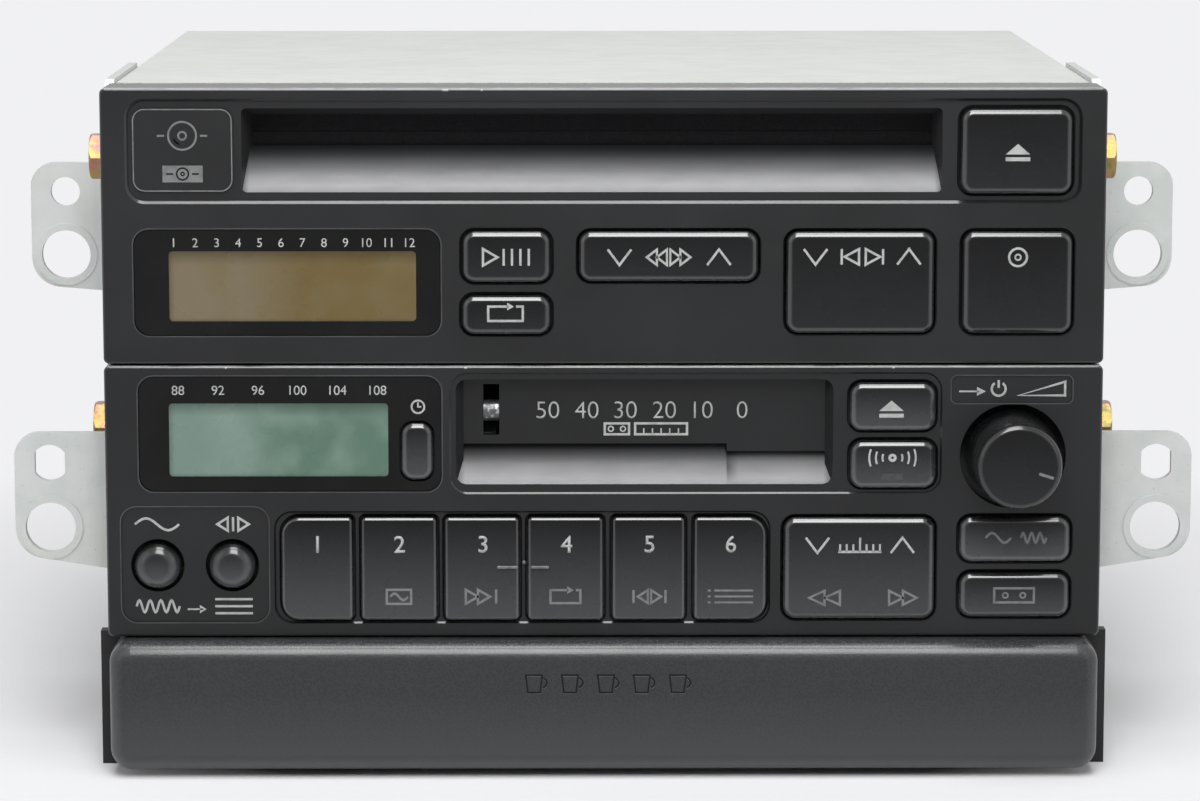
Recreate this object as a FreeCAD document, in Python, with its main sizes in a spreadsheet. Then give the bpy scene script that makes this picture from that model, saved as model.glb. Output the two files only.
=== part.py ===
import FreeCAD, Part
import math
import os
from types import SimpleNamespace

import Sketcher

# A car stereo: a disc deck over a cassette receiver over a cup holder, held by two side brackets.
# X runs to the right, Y from the front to the back, Z up. The origin is the middle of the foot print.

os.makedirs("parts", exist_ok=True)
doc = FreeCAD.newDocument("car_stereo")
Vector = FreeCAD.Vector

# Driving dimensions in millimetres. Inside a deck, y counts back from the panel's face and z up from
# its lower edge.
SIZES = {
    # the stack
    "stack_base": 25.4,
    "deck_pitch": 50.0,
    "deck_depth": 165.0,
    "running_fit": 0.05,
    "touch_gap": 0.3,
    # front panels
    "panel_width": 180.0,
    "panel_height": 49.6,
    "panel_depth": 12.0,
    "panel_wall": 2.5,
    "panel_side": 2.0,
    "panel_skirt": 1.0,
    "panel_corner": 1.0,
    "panel_edge": 0.5,
    "recess_depth": 0.8,
    "recess_corner": 3.0,
    "recess_lip": 0.5,
    "trough_wall": 1.5,
    "trough_depth": 9.0,
    "board_front": 9.4,
    "board_thick": 1.6,
    "post_radius": 1.6,
    "post_low_z": 2.4,
    "disc_post_high_z": 26.8,
    "disc_post_left_x": -75.0,
    "disc_post_middle_x": 30.2,
    "disc_post_right_x": 62.0,
    "receiver_post_high_z": 24.2,
    "receiver_post_left_x": -85.6,
    "receiver_post_middle_x": -62.5,
    "receiver_post_right_x": 61.9,
    # keys
    "key_gap": 0.3,
    "key_corner": 2.2,
    "key_edge": 1.3,
    "key_lip": 0.25,
    "bay_key_lip": 0.2,
    "preset_corner": 0.8,
    "preset_edge": 0.7,
    "preset_lip": 0.18,
    "row_corner": 3.2,
    "key_stand_out": 1.2,
    "key_travel": 1.0,
    "key_flange": 0.35,
    "key_flange_thick": 1.0,
    "key_seat_gap": 0.1,
    "window_key_stand_out": 0.6,
    "stem_radius": 1.6,
    "switch_side": 6.0,
    "switch_rise": 3.4,
    "plunger_radius": 1.5,
    "plunger_rise": 0.6,
    "pivot_depth": 4.2,
    "pivot_radius": 0.9,
    "pivot_reach": 2.2,
    "rocker_stem_gap": 0.7,
    "lug_thick": 1.8,
    "lug_wide": 5.0,
    # display windows and glasses
    "window_corner": 2.8,
    "window_sunk": 0.3,
    "window_fit": 0.1,
    "window_flange": 0.8,
    "window_flange_thick": 0.8,
    "glass_margin": 1.2,
    "glass_back_gap": 0.1,
    # disc deck recess
    "disc_recess_x": 0.0,
    "disc_recess_wide": 170.2,
    "disc_recess_low": 29.4,
    "disc_recess_high": 17.9,
    "badge_x": -75.3,
    "badge_wide": 18.0,
    "badge_high": 15.0,
    "badge_low": 31.0,
    "badge_rise": 0.5,
    "slot_x": -2.1,
    "slot_wide": 125.4,
    "slot_low": 30.9,
    "slot_high": 15.1,
    "chin_top": 38.6,
    "chin_back": 8.0,
    "chin_lip": 0.4,
    "throat_high": 5.7,
    "slot_corner": 1.0,
    "mouth_draft": 1.3,
    # cassette opening
    "tape_recess_low": 26.5,
    "tape_recess_high": 21.6,
    "tape_recess_x": 16.6,
    "tape_recess_wide": 88.3,
    "bay_left": -26.7,
    "bay_wide": 68.1,
    "bay_low": 27.9,
    "bay_high": 19.2,
    "bay_corner": 2.0,
    "door_gap": 0.2,
    "door_side_gap": 0.4,
    "door_front": 3.5,
    "door_thick": 1.4,
    "door_low": 34.9,
    "door_step": 1.4,
    "door_step_x": 22.3,
    "door_pin_z": 47.9,
    "door_pin_back": 1.0,
    "door_pin_radius": 0.6,
    "door_pin_reach": 1.0,
    "door_top_rise": 0.3,
    "bay_ceiling": 48.6,
    "door_slot_x": -20.35,
    "door_slot_wide": 2.9,
    "door_slot_low": 36.5,
    "door_slot_high": 9.3,
    "door_roller_radius": 2.1,
    "door_roller_z": 40.8,
    # outlined plates on the receiver
    "plate_depth": 0.4,
    "plate_lip": 0.3,
    "knob_plate_x": -74.0,
    "knob_plate_wide": 26.6,
    "knob_plate_low": 2.7,
    "knob_plate_high": 21.1,
    "power_plate_x": 73.6,
    "power_plate_wide": 21.7,
    "power_plate_low": 42.8,
    "power_plate_high": 4.9,
    "preset_left": -59.4,
    "preset_wide": 89.3,
    "preset_low": 2.7,
    "preset_high": 20.1,
    "preset_sunk": 0.5,
    # volume knob
    "volume_x": 73.9,
    "volume_z": 33.1,
    "volume_bowl_radius": 9.6,
    "volume_bowl_depth": 4.0,
    "volume_bowl_wall": 0.6,
    "volume_bowl_floor": 1.4,
    "volume_radius": 8.4,
    "volume_tip_radius": 7.6,
    "volume_stand_out": 13.0,
    "volume_seat": 2.2,
    "volume_edge": 1.2,
    "volume_push": 1.5,
    "volume_shaft_radius": 3.0,
    # bass and balance knobs
    "small_knob_z": 13.1,
    "bass_x": -80.8,
    "balance_x": -67.3,
    "small_knob_radius": 4.15,
    "knob_hole_radius": 4.85,
    "small_knob_stand_out": 2.0,
    "small_knob_hold": 1.0,
    "small_knob_dome": 2.4,
    "small_knob_pull": 4.0,
    "small_shaft_radius": 2.0,
    # potentiometers behind the key board
    "pot_side": 10.0,
    "pot_depth": 9.0,
    "shaft_end_gap": 0.5,
    "shaft_grip": 6.0,
    # chassis trays and covers
    "chassis_half": 88.1,
    "chassis_low": 0.7,
    "chassis_high": 47.7,
    "sheet": 1.0,
    "cover_sheet": 0.8,
    "cover_flange": 5.4,
    "cover_front": 19.0,
    "strap_depth": 11.0,
    "strap_drop": 0.6,
    "strap_slot_wide": 4.6,
    "strap_slot_deep": 2.2,
    "strap_slot_y": 15.0,
    "strap_slot_a": -50.3,
    "strap_slot_b": 50.5,
    "strap_slot_c": 70.9,
    # side brackets
    "bracket_inner": 89.0,
    "bracket_sheet": 1.6,
    "bracket_front": 12.3,
    "bracket_top": 125.4,
    "bracket_top_end": 63.0,
    "bracket_back": 108.0,
    "bracket_shoulder": 116.0,
    "bracket_foot": 3.0,
    "bracket_foot_end": 128.0,
    "bracket_foot_top": 24.0,
    "ear_reach": 108.0,
    "upper_ear_y": 44.0,
    "upper_ear_low": 82.9,
    "upper_ear_high": 24.7,
    "lower_ear_low": 35.5,
    "lower_ear_high": 25.5,
    "ear_corner": 4.5,
    "ear_foot_corner": 5.6,
    "upper_ear_slope": 1.5,
    "lower_ear_slope": 2.9,
    "ear_hole_x": 101.5,
    "upper_big_hole_z": 90.15,
    "lower_big_hole_z": 43.4,
    "ear_hole_spacing": 11.95,
    "big_hole_radius": 4.6,
    "small_hole_radius": 2.75,
    "long_hole_radius": 3.35,
    "ear_ring_radius": 5.9,
    "ear_ring_rise": 0.3,
    "lance_depth": 18.0,
    # bolts
    "bolt_z": 35.2,
    "bolt_front_y": 25.0,
    "bolt_back_y": 95.0,
    "cup_bolt_z": 12.0,
    "cup_bolt_y": 60.0,
    "cup_bolt_back_y": 112.0,
    "bolt_radius": 2.45,
    "bolt_length": 3.4,
    "bolt_hole_gap": 0.3,
    "bolt_head_flats": 8.0,
    "bolt_head_thick": 2.8,
    "bolt_crown_radius": 7.2,
    "bolt_crown_depth": 6.0,
    "bolt_washer_radius": 5.4,
    "bolt_washer_thick": 1.0,
    "boss_radius": 7.0,
    # disc mechanism
    "disc_y": 90.0,
    "mech_floor": 22.0,
    "mech_sheet": 1.2,
    "mech_half": 74.0,
    "mech_front": 15.0,
    "mech_back": 160.0,
    "mech_post_radius": 3.5,
    "mech_post_inset": 6.0,
    "cheek_long": 12.0,
    "cheek_top": 41.0,
    "roller_y": 20.5,
    "roller_z": 36.0,
    "roller_radius": 4.6,
    "roller_shaft_radius": 1.5,
    "roller_half": 64.0,
    "table_top": 39.0,
    "table_radius": 15.0,
    "table_thick": 2.2,
    "hub_radius": 7.4,
    "hub_rise": 1.2,
    "spindle_radius": 1.2,
    "spindle_long": 8.0,
    "motor_radius": 12.0,
    "clamp_bottom": 45.3,
    "clamp_radius": 12.0,
    "clamp_thick": 1.2,
    "clamp_arm_thick": 0.8,
    "clamp_arm_half": 11.0,
    "clamp_pin_y": 156.0,
    "clamp_pin_z": 46.0,
    "clamp_pin_radius": 1.0,
    "clamp_lug_thick": 2.0,
    "clamp_lug_long": 7.0,
    "rod_half_gap": 14.0,
    "rod_radius": 1.5,
    "rod_z": 30.0,
    "rod_start": 12.3,
    "rod_end": 74.0,
    "rod_block": 3.0,
    "rod_block_wide": 6.0,
    "pickup_out": 26.0,
    "pickup_long": 20.0,
    "pickup_wide": 36.0,
    "pickup_low": 25.0,
    "pickup_high": 11.0,
    "lens_out": 23.5,
    "lens_radius": 3.2,
    "lens_rise": 1.6,
    "sled_motor_radius": 6.0,
    "sled_motor_long": 18.0,
    "sled_motor_y": 58.0,
    # boards
    "key_board_half": 86.4,
    "key_board_low": 1.8,
    "key_board_high": 47.6,
    "disc_key_board_step": 27.8,
    "tape_key_board_step": 25.0,
    "key_board_gap": 0.6,
    "main_board_z": 6.0,
    "board_post_radius": 2.5,
    "board_post_inset": 6.0,
    "disc_board_half": 60.0,
    "disc_board_front": 30.0,
    "disc_board_long": 118.0,
    "tape_board_half": 82.0,
    "tape_board_front": 26.0,
    "tape_board_long": 132.0,
    "chip_side": 16.0,
    "chip_high": 2.2,
    "capacitor_radius": 3.0,
    "capacitor_high": 5.0,
    # cassette mechanism
    "cassette_x": 7.5,
    "cassette_half": 31.9,
    "carrier_front": 20.0,
    "carrier_back": 109.2,
    "carrier_sheet": 0.8,
    "carrier_gap": 0.4,
    "carrier_rail": 5.0,
    "carrier_low": 33.6,
    "carrier_ceiling": 47.0,
    "carrier_tab": 5.0,
    "carrier_pin_radius": 1.2,
    "carrier_pin_top": 47.4,
    "carrier_pin_front": 28.0,
    "carrier_pin_back": 102.0,
    "head_window_y": 34.0,
    "head_window_long": 62.0,
    "head_window_top": 42.0,
    "tape_plate_z": 24.0,
    "tape_plate_sheet": 1.2,
    "tape_plate_left": -42.0,
    "tape_plate_wide": 106.0,
    "tape_plate_front": 22.0,
    "tape_plate_long": 126.0,
    "tape_leg_radius": 3.0,
    "tape_leg_inset": 5.0,
    "reel_x": 4.8,
    "reel_middle_y": 58.5,
    "reel_spacing": 42.5,
    "reel_disc_radius": 9.0,
    "reel_disc_thick": 1.5,
    "reel_hub_radius": 4.6,
    "reel_top": 33.0,
    "reel_shaft_radius": 1.5,
    "reel_fin_reach": 0.9,
    "reel_fin_wide": 1.2,
    "capstan_x": 32.5,
    "capstan_y": 88.0,
    "capstan_radius": 1.0,
    "capstan_top": 33.2,
    "flywheel_radius": 15.0,
    "flywheel_low": 13.0,
    "flywheel_thick": 4.0,
    "bearing_radius": 3.5,
    "bearing_drop": 3.0,
    "tape_motor_x": -5.0,
    "tape_motor_y": 132.0,
    "tape_motor_radius": 12.0,
    "tape_motor_high": 15.0,
    "motor_shaft_radius": 1.0,
    "motor_shaft_grip": 6.0,
    "pulley_radius": 4.0,
    "belt_thick": 0.8,
    "belt_high": 1.4,
    "head_travel": 4.8,
    "head_y": 58.5,
    "head_stand_off": 2.6,
    "head_plate_thick": 1.2,
    "head_plate_wide": 18.0,
    "head_plate_front": 33.5,
    "head_plate_long": 61.0,
    "head_wide": 12.0,
    "head_deep": 8.0,
    "head_high": 8.0,
    "pinch_radius": 4.0,
    "pinch_high": 6.0,
    "pinch_pin_radius": 1.0,
    # back of the decks
    "heat_sink_depth": 12.0,
    "heat_sink_left": 28.0,
    "heat_sink_wide": 52.0,
    "heat_sink_low": 7.0,
    "heat_sink_high": 34.6,
    "heat_sink_base": 3.0,
    "fin_thick": 1.4,
    "fin_pitch": 5.6,
    "socket_inside": 4.0,
    "socket_gap": 0.3,
    "aerial_x": -72.0,
    "aerial_z": 30.0,
    "aerial_bore": 4.6,
    "aerial_wall": 1.4,
    "aerial_long": 10.0,
    "socket_x": -38.0,
    "socket_low": 20.0,
    "socket_wide": 40.0,
    "socket_high": 14.0,
    "socket_deep": 10.0,
    "socket_wall": 1.6,
    "link_x": -60.0,
    "link_low": 14.0,
    "link_wide": 22.0,
    "link_high": 10.0,
    # cup holder
    "frame_width": 184.4,
    "frame_high": 24.9,
    "frame_front": 8.0,
    "frame_thick": 3.0,
    "housing_gap": 0.2,
    "housing_top": 24.4,
    "housing_back": 150.0,
    "housing_wall": 2.0,
    "housing_roof": 1.4,
    "drawer_front_width": 179.2,
    "drawer_front_low": 1.3,
    "drawer_front_high": 23.8,
    "drawer_stand_out": 5.0,
    "drawer_corner": 4.0,
    "drawer_edge": 3.2,
    "drawer_gap": 0.4,
    "drawer_wall": 2.0,
    "drawer_top": 21.8,
    "drawer_travel": 95.0,
    "drawer_hold": 30.0,
    "cup_radius": 36.0,
    "cup_wall": 1.8,
    "cup_x": 41.0,
    "cup_y": 52.0,
}

# Each key's centre and face size on its panel: x, z, wide, high.
DISC_KEYS = {
    "cd_eject": (73.8, 38.35, 20.0, 15.3),
    "cd_scan": (-17.45, 19.45, 15.9, 9.3),
    "cd_repeat": (-17.5, 8.95, 16.0, 7.1),
    "cd_fast": (11.6, 19.5, 32.2, 9.1),
    "cd_track": (46.0, 14.8, 26.6, 18.4),
    "cd_source": (74.2, 14.75, 19.8, 18.5),
}
RECEIVER_KEYS = {
    "tape_eject": (52.1, 42.2, 15.5, 8.8),
    "info": (52.2, 31.7, 15.5, 8.7),
    "tune": (46.2, 12.65, 27.4, 18.7),
    "band": (74.4, 17.95, 20.1, 8.3),
    "tape": (74.4, 7.7, 20.0, 8.2),
}
WINDOW_KEY = {"window_key": (-33.7, 34.05, 5.8, 10.5)}
PRESET_KEYS = {
    "preset_1": (-51.85, 12.65, 12.9, 18.9),
    "preset_2": (-37.05, 12.65, 13.7, 18.9),
    "preset_3": (-22.05, 12.65, 13.5, 18.9),
    "preset_4": (-6.95, 12.65, 13.7, 18.9),
    "preset_5": (8.1, 12.65, 13.2, 18.9),
    "preset_6": (22.85, 12.65, 13.1, 18.9),
}
# Each display: x, z, wide, high of its window, then of the lit area.
WINDOWS = {
    "cd_display": (-56.8, 14.7, 55.0, 19.2),
    "receiver_display": (-56.6, 37.2, 54.6, 21.0),
}
GLASSES = {
    "cd_glass": (-55.85, 14.25, 43.9, 12.7),
    "receiver_glass": (-58.55, 36.15, 39.3, 13.3),
}
RECTANGLES = {**DISC_KEYS, **RECEIVER_KEYS, **PRESET_KEYS, **WINDOW_KEY, **WINDOWS, **GLASSES}
for rectangle, numbers in RECTANGLES.items():
    for part_name, number in zip(("x", "z", "wide", "high"), numbers):
        SIZES[f"{rectangle}_{part_name}"] = number


class Size:
    """A length: its number, and the expression that gives it from the sheet."""

    def __init__(self, number, text=None):
        self.number = float(number)
        self.text = text or repr(float(number))

    def _with(self, other, sign, number, swapped=False):
        other = other if isinstance(other, Size) else Size(other)
        first, last = (other, self) if swapped else (self, other)
        return Size(number(first.number, last.number), f"({first.text} {sign} {last.text})")

    def __add__(self, other):
        return self._with(other, "+", lambda a, b: a + b)

    def __radd__(self, other):
        return self._with(other, "+", lambda a, b: a + b, swapped=True)

    def __sub__(self, other):
        return self._with(other, "-", lambda a, b: a - b)

    def __rsub__(self, other):
        return self._with(other, "-", lambda a, b: a - b, swapped=True)

    def __mul__(self, other):
        return self._with(other, "*", lambda a, b: a * b)

    def __rmul__(self, other):
        return self._with(other, "*", lambda a, b: a * b, swapped=True)

    def __truediv__(self, other):
        return self._with(other, "/", lambda a, b: a / b)

    def __neg__(self):
        return Size(0) - self


sheet = doc.addObject("Spreadsheet::Sheet", "Sizes")
size = SimpleNamespace()
for row, (name, number) in enumerate(SIZES.items(), start=1):
    sheet.set(f"A{row}", name)
    sheet.set(f"B{row}", str(number))
    sheet.setAlias(f"B{row}", name)
    setattr(size, name, Size(number, "Sizes." + name))
doc.recompute()

ZERO = Size(0)


def rectangle_of(name):
    """The named key's, window's or glass's centre and size."""
    values = {part: getattr(size, f"{name}_{part}") for part in ("x", "z", "wide", "high")}
    return SimpleNamespace(**values)


def bind(made, name, value):
    """Ties one property or constraint to a size."""
    value = value if isinstance(value, Size) else Size(value)
    made.setExpression(name, value.text)


def place(made, x=ZERO, y=ZERO, z=ZERO):
    """Ties an object's position to sizes."""
    for axis, value in zip("xyz", (x, y, z)):
        bind(made, f".Placement.Base.{axis}", value)
    return made


# Plain solids and booleans.
TURNS = {
    "x": FreeCAD.Rotation(Vector(0, 1, 0), 90),
    "y": FreeCAD.Rotation(Vector(1, 0, 0), -90),
    "z": FreeCAD.Rotation(),
}
made_names = {}


def fresh(name):
    """The name with a number that tells its features apart."""
    made_names[name] = made_names.get(name, 0) + 1
    return f"{name}_f{made_names[name]}"


def block(name, low, high):
    """A rectangular block between two corners."""
    made = doc.addObject("Part::Box", fresh(name))
    for side, start, end in zip(("Length", "Width", "Height"), low, high):
        bind(made, side, end - start)
    return place(made, *low)


def rod(name, start, radius, length, along="z"):
    """A round bar from the centre of its first end."""
    made = doc.addObject("Part::Cylinder", fresh(name))
    made.Placement = FreeCAD.Placement(Vector(), TURNS[along])
    bind(made, "Radius", radius)
    bind(made, "Height", length)
    return place(made, *start)


def fused(name, *pieces):
    """One solid of several."""
    made = doc.addObject("Part::MultiFuse", fresh(name))
    made.Shapes = list(pieces)
    made.Refine = True
    return made


def cut(name, base, *tools):
    """The base less the tools."""
    made = doc.addObject("Part::Cut", fresh(name))
    made.Base = base
    made.Tool = tools[0] if len(tools) == 1 else fused(name, *tools)
    made.Refine = True
    return made


def group(name, *pieces):
    """Several solids of one node, kept apart."""
    made = doc.addObject("Part::Compound", fresh(name))
    made.Links = list(pieces)
    return made


# Sketches and features of a body.
def new_body(name):
    return doc.addObject("PartDesign::Body", fresh(name))


def sketch_on(body, plane, at=ZERO):
    """An empty sketch on one of the body's planes, moved along the plane's own axis."""
    made = body.newObject("Sketcher::SketchObject", fresh(body.Name + "_sketch"))
    role = f"{plane}_Plane"
    made.AttachmentSupport = [(next(o for o in body.Origin.OriginFeatures if o.Role == role), "")]
    made.MapMode = "FlatFace"
    bind(made, ".AttachmentOffset.Base.z", -at if plane == "XZ" else at)
    return made


def tie(sketch, constraint, value):
    """Adds one driving dimension bound to a size."""
    index = sketch.addConstraint(constraint)
    bind(sketch, f"Constraints[{index}]", value)


def tie_signed(sketch, kind, geometry, point, value):
    """Ties a point's distance from the sketch's origin, on either side of it."""
    if value.number < 0:
        tie(sketch, Sketcher.Constraint(kind, geometry, point, -1, 1, -value.number), -value)
    else:
        tie(sketch, Sketcher.Constraint(kind, -1, 1, geometry, point, value.number), value)


def polygon(sketch, points):
    """A closed outline of straight lines through the points."""
    corners = [Vector(x.number, y.number, 0) for x, y in points]
    count = len(corners)
    lines = [Part.LineSegment(corners[k], corners[(k + 1) % count]) for k in range(count)]
    first = sketch.GeometryCount
    sketch.addGeometry(lines, False)
    joints = []
    for k in range(count):
        joints.append(Sketcher.Constraint("Coincident", first + k, 2, first + (k + 1) % count, 1))
    sketch.addConstraint(joints)
    for k, (x, y) in enumerate(points):
        tie_signed(sketch, "DistanceX", first + k, 1, x)
        tie_signed(sketch, "DistanceY", first + k, 1, y)


def rectangle(sketch, left, low, wide, high):
    polygon(sketch, [(left, low), (left + wide, low), (left + wide, low + high), (left, low + high)])


def rounded(sketch, x, y, wide, high, corner, right_corner=None):
    """A rectangle with round corners about its centre. Its right corners may have a radius of their own."""
    right_corner = right_corner or corner
    half_w, half_h, r, q = wide.number / 2, high.number / 2, corner.number, right_corner.number
    cx, cy = x.number, y.number
    left, right, low, top = cx - half_w, cx + half_w, cy - half_h, cy + half_h
    first = sketch.GeometryCount
    lines = [
        Part.LineSegment(Vector(left + r, low, 0), Vector(right - q, low, 0)),
        Part.LineSegment(Vector(right, low + q, 0), Vector(right, top - q, 0)),
        Part.LineSegment(Vector(right - q, top, 0), Vector(left + r, top, 0)),
        Part.LineSegment(Vector(left, top - r, 0), Vector(left, low + r, 0)),
    ]
    rounds = [
        (right - q, low + q, q),
        (right - q, top - q, q),
        (left + r, top - r, r),
        (left + r, low + r, r),
    ]
    arcs = []
    for k, (ax, ay, radius) in enumerate(rounds):
        circle = Part.Circle(Vector(ax, ay, 0), Vector(0, 0, 1), radius)
        start = math.radians(90 * k - 90)
        arcs.append(Part.ArcOfCircle(circle, start, start + math.radians(90)))
    sketch.addGeometry(lines + arcs, False)
    shape = []
    for k in range(4):
        shape.append(Sketcher.Constraint("Tangent", first + k, 2, first + 4 + k, 1))
        shape.append(Sketcher.Constraint("Tangent", first + 4 + k, 2, first + (k + 1) % 4, 1))
    for k in (0, 2):
        shape.append(Sketcher.Constraint("Horizontal", first + k))
        shape.append(Sketcher.Constraint("Vertical", first + k + 1))
    for k in (4, 6):
        shape.append(Sketcher.Constraint("Equal", first + k, first + k + 1))
    sketch.addConstraint(shape)
    tie(sketch, Sketcher.Constraint("Radius", first + 4, q), right_corner)
    tie(sketch, Sketcher.Constraint("Radius", first + 6, r), corner)
    tie_signed(sketch, "DistanceX", first + 3, 1, x - wide / 2)
    tie_signed(sketch, "DistanceX", first + 1, 1, x + wide / 2)
    tie_signed(sketch, "DistanceY", first, 1, y - high / 2)
    tie_signed(sketch, "DistanceY", first + 2, 1, y + high / 2)


def circle(sketch, x, y, radius):
    """A circle about a centre given by sizes."""
    line = Part.Circle(Vector(x.number, y.number, 0), Vector(0, 0, 1), radius.number)
    made = sketch.addGeometry(line, False)
    tie(sketch, Sketcher.Constraint("Radius", made, radius.number), radius)
    for kind, value in (("DistanceX", x), ("DistanceY", y)):
        tie_signed(sketch, kind, made, 3, value)


def pad(body, sketch, length, plane="XZ"):
    """Adds material from the sketch towards the back, the top or the right."""
    made = body.newObject("PartDesign::Pad", fresh(body.Name + "_pad"))
    made.Profile = sketch
    made.Reversed = plane == "XZ"
    bind(made, "Length", length)
    return made


def pocket(body, sketch, length, plane="XZ"):
    """Takes material from the sketch towards the back, the top or the right."""
    made = body.newObject("PartDesign::Pocket", fresh(body.Name + "_pocket"))
    made.Profile = sketch
    made.Reversed = plane != "XZ"
    bind(made, "Length", length)
    return made


def eased(body, kind, amount, chosen):
    """A fillet or chamfer on the edges of the body's last feature that the test chooses."""
    doc.recompute()
    last = body.Tip
    edges = [f"Edge{k}" for k, edge in enumerate(last.Shape.Edges, start=1) if chosen(edge)]
    made = body.newObject(f"PartDesign::{kind}", fresh(body.Name + "_eased"))
    made.Base = (last, edges)
    bind(made, "Radius" if kind == "Fillet" else "Size", amount)
    return made


def edge_at_y(y):
    """Chooses the edges that lie on the plane at this depth of the body."""
    return lambda edge: all(abs(vertex.Point.y - y.number) < 1e-6 for vertex in edge.Vertexes)


def edge_inside(y, x, z, wide, high):
    """Chooses the edges at this depth that lie in or on a rectangle about its centre."""
    at_depth = edge_at_y(y)
    reach_x = wide.number / 2 + 1e-6
    reach_z = high.number / 2 + 1e-6

    def chosen(edge):
        points = [vertex.Point for vertex in edge.Vertexes]
        near = all(abs(p.x - x.number) < reach_x and abs(p.z - z.number) < reach_z for p in points)
        return near and at_depth(edge)

    return chosen


# The panels' face stands where the foot print's middle comes to the origin.
front_y = (size.volume_stand_out - size.deck_depth - size.heat_sink_depth) / 2
receiver_z = size.stack_base
disc_z = size.stack_base + size.deck_pitch
sub_parts = []


def sub_part(made, name, x=ZERO, y=ZERO, z=ZERO):
    """Names a finished piece and puts it in its place behind the face of the panels."""
    made.Label = name
    place(made, x, front_y + y, z)
    sub_parts.append(made)
    return made


# Front panels: mouldings with a skirt, screw posts behind, and openings for what shows.
def panel_shell(name):
    """A hollow panel with an eased front edge and posts that carry the key board."""
    body = new_body(name)
    middle = size.panel_height / 2
    outline = sketch_on(body, "XZ")
    rounded(outline, ZERO, middle, size.panel_width, size.panel_height, size.panel_corner)
    pad(body, outline, size.panel_depth)
    eased(body, "Fillet", size.panel_edge, edge_at_y(ZERO))
    hollow = sketch_on(body, "XZ", size.panel_wall)
    wide = size.panel_width - 2 * size.panel_side
    high = size.panel_height - 2 * size.panel_skirt
    rectangle(hollow, -wide / 2, size.panel_skirt, wide, high)
    pocket(body, hollow, size.panel_depth)
    return body


def behind_wall(body, left, low, wide, high, depth):
    """Material on the back of the panel's wall, as far back as depth."""
    start = size.panel_wall / 2
    ground = sketch_on(body, "XZ", start)
    rectangle(ground, left, low, wide, high)
    pad(body, ground, depth - start)


def sunk(body, x, z, wide, high, corner, depth, start=None):
    """A rounded pocket from the face, or from start, to depth."""
    start = start or -size.key_stand_out
    ground = sketch_on(body, "XZ", start)
    rounded(ground, x, z, wide, high, corner)
    pocket(body, ground, depth - start)


def mouth(body, left, low, wide, high, corner, start, back):
    """An opening's round-cornered rim as deep as start, and ends that lean inwards from there to back."""
    sunk(body, left + wide / 2, low + high / 2, wide, high, corner, start)
    ends = sketch_on(body, "XY", low)
    for wall, lean in ((left, size.mouth_draft), (left + wide, -size.mouth_draft)):
        polygon(ends, [(wall, start), (wall + lean, back), (wall, back)])
    pad(body, ends, high, plane="XY")


def corners_of(name):
    """The radii of a key's left and right corners. In a row of keys only the outermost ones are large."""
    if name not in PRESET_KEYS:
        return size.key_corner, size.key_corner
    left = size.row_corner if name == "preset_1" else size.preset_corner
    right = size.row_corner if name == "preset_6" else size.preset_corner
    return left, right


def openings(body, keys, window):
    """The openings that keys move in, with a gap all round, and the one that a window fills."""
    ground = sketch_on(body, "XZ", -size.key_stand_out)
    gap = 2 * size.key_gap
    for name in keys:
        key = rectangle_of(name)
        left, right = corners_of(name)
        wide, high = key.wide + gap, key.high + gap
        rounded(ground, key.x, key.z, wide, high, left + size.key_gap, right + size.key_gap)
    lens = rectangle_of(window)
    rounded(ground, lens.x, lens.z, lens.wide, lens.high, size.window_corner)
    pocket(body, ground, size.key_stand_out + 2 * size.panel_wall)


def lips(body, keys, depth, amount):
    """Chamfers round the openings of these keys, on the face at this depth."""
    gap = 2 * size.key_gap
    tests = []
    for name in keys:
        key = rectangle_of(name)
        tests.append(edge_inside(depth, key.x, key.z, key.wide + gap, key.high + gap))
    eased(body, "Chamfer", amount, lambda edge: any(test(edge) for test in tests))


def pivot_lugs(body, name):
    """Two lugs behind the wall, above and below a rocker, bored for its pins."""
    key = rectangle_of(name)
    reach = key.high / 2 + size.key_gap
    for low in (key.z + reach, key.z - reach - size.lug_thick):
        depth = size.pivot_depth + size.lug_wide / 2
        behind_wall(body, key.x - size.lug_wide / 2, low, size.lug_wide, size.lug_thick, depth)
    bore = sketch_on(body, "XY", key.z - reach - size.lug_thick - size.touch_gap)
    circle(bore, key.x, size.pivot_depth, size.pivot_radius + size.running_fit)
    length = 2 * (reach + size.lug_thick + size.touch_gap)
    pocket(body, bore, length, plane="XY")


def posts_of(deck):
    """Where a panel's screw posts stand, as x and z."""
    across = [getattr(size, f"{deck}_post_{side}_x") for side in ("left", "middle", "right")]
    return [(x, z) for x in across for z in (size.post_low_z, getattr(size, f"{deck}_post_high_z"))]


def screw_posts(body, deck):
    """Round posts between the wall and the key board."""
    start = size.panel_wall / 2
    ground = sketch_on(body, "XZ", start)
    for x, z in posts_of(deck):
        circle(ground, x, z, size.post_radius)
    pad(body, ground, size.board_front - start)


disc_panel = panel_shell("cd_front_panel")
screw_posts(disc_panel, "disc")
slot_left = size.slot_x - size.slot_wide / 2
behind_wall(
    disc_panel,
    slot_left - size.trough_wall,
    size.slot_low - size.trough_wall,
    size.slot_wide + 2 * size.trough_wall,
    size.panel_height - size.panel_skirt / 2 - size.slot_low + size.trough_wall,
    size.trough_depth,
)
disc_recess_middle = size.disc_recess_low + size.disc_recess_high / 2
sunk(
    disc_panel,
    size.disc_recess_x,
    disc_recess_middle,
    size.disc_recess_wide,
    size.disc_recess_high,
    size.recess_corner,
    size.recess_depth,
)
badge = sketch_on(disc_panel, "XZ", size.recess_depth - size.badge_rise)
badge_middle = size.badge_low + size.badge_high / 2
rounded(badge, size.badge_x, badge_middle, size.badge_wide, size.badge_high, size.key_corner)
pad(disc_panel, badge, size.panel_wall / 2)
slot_top = size.slot_low + size.slot_high
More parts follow.
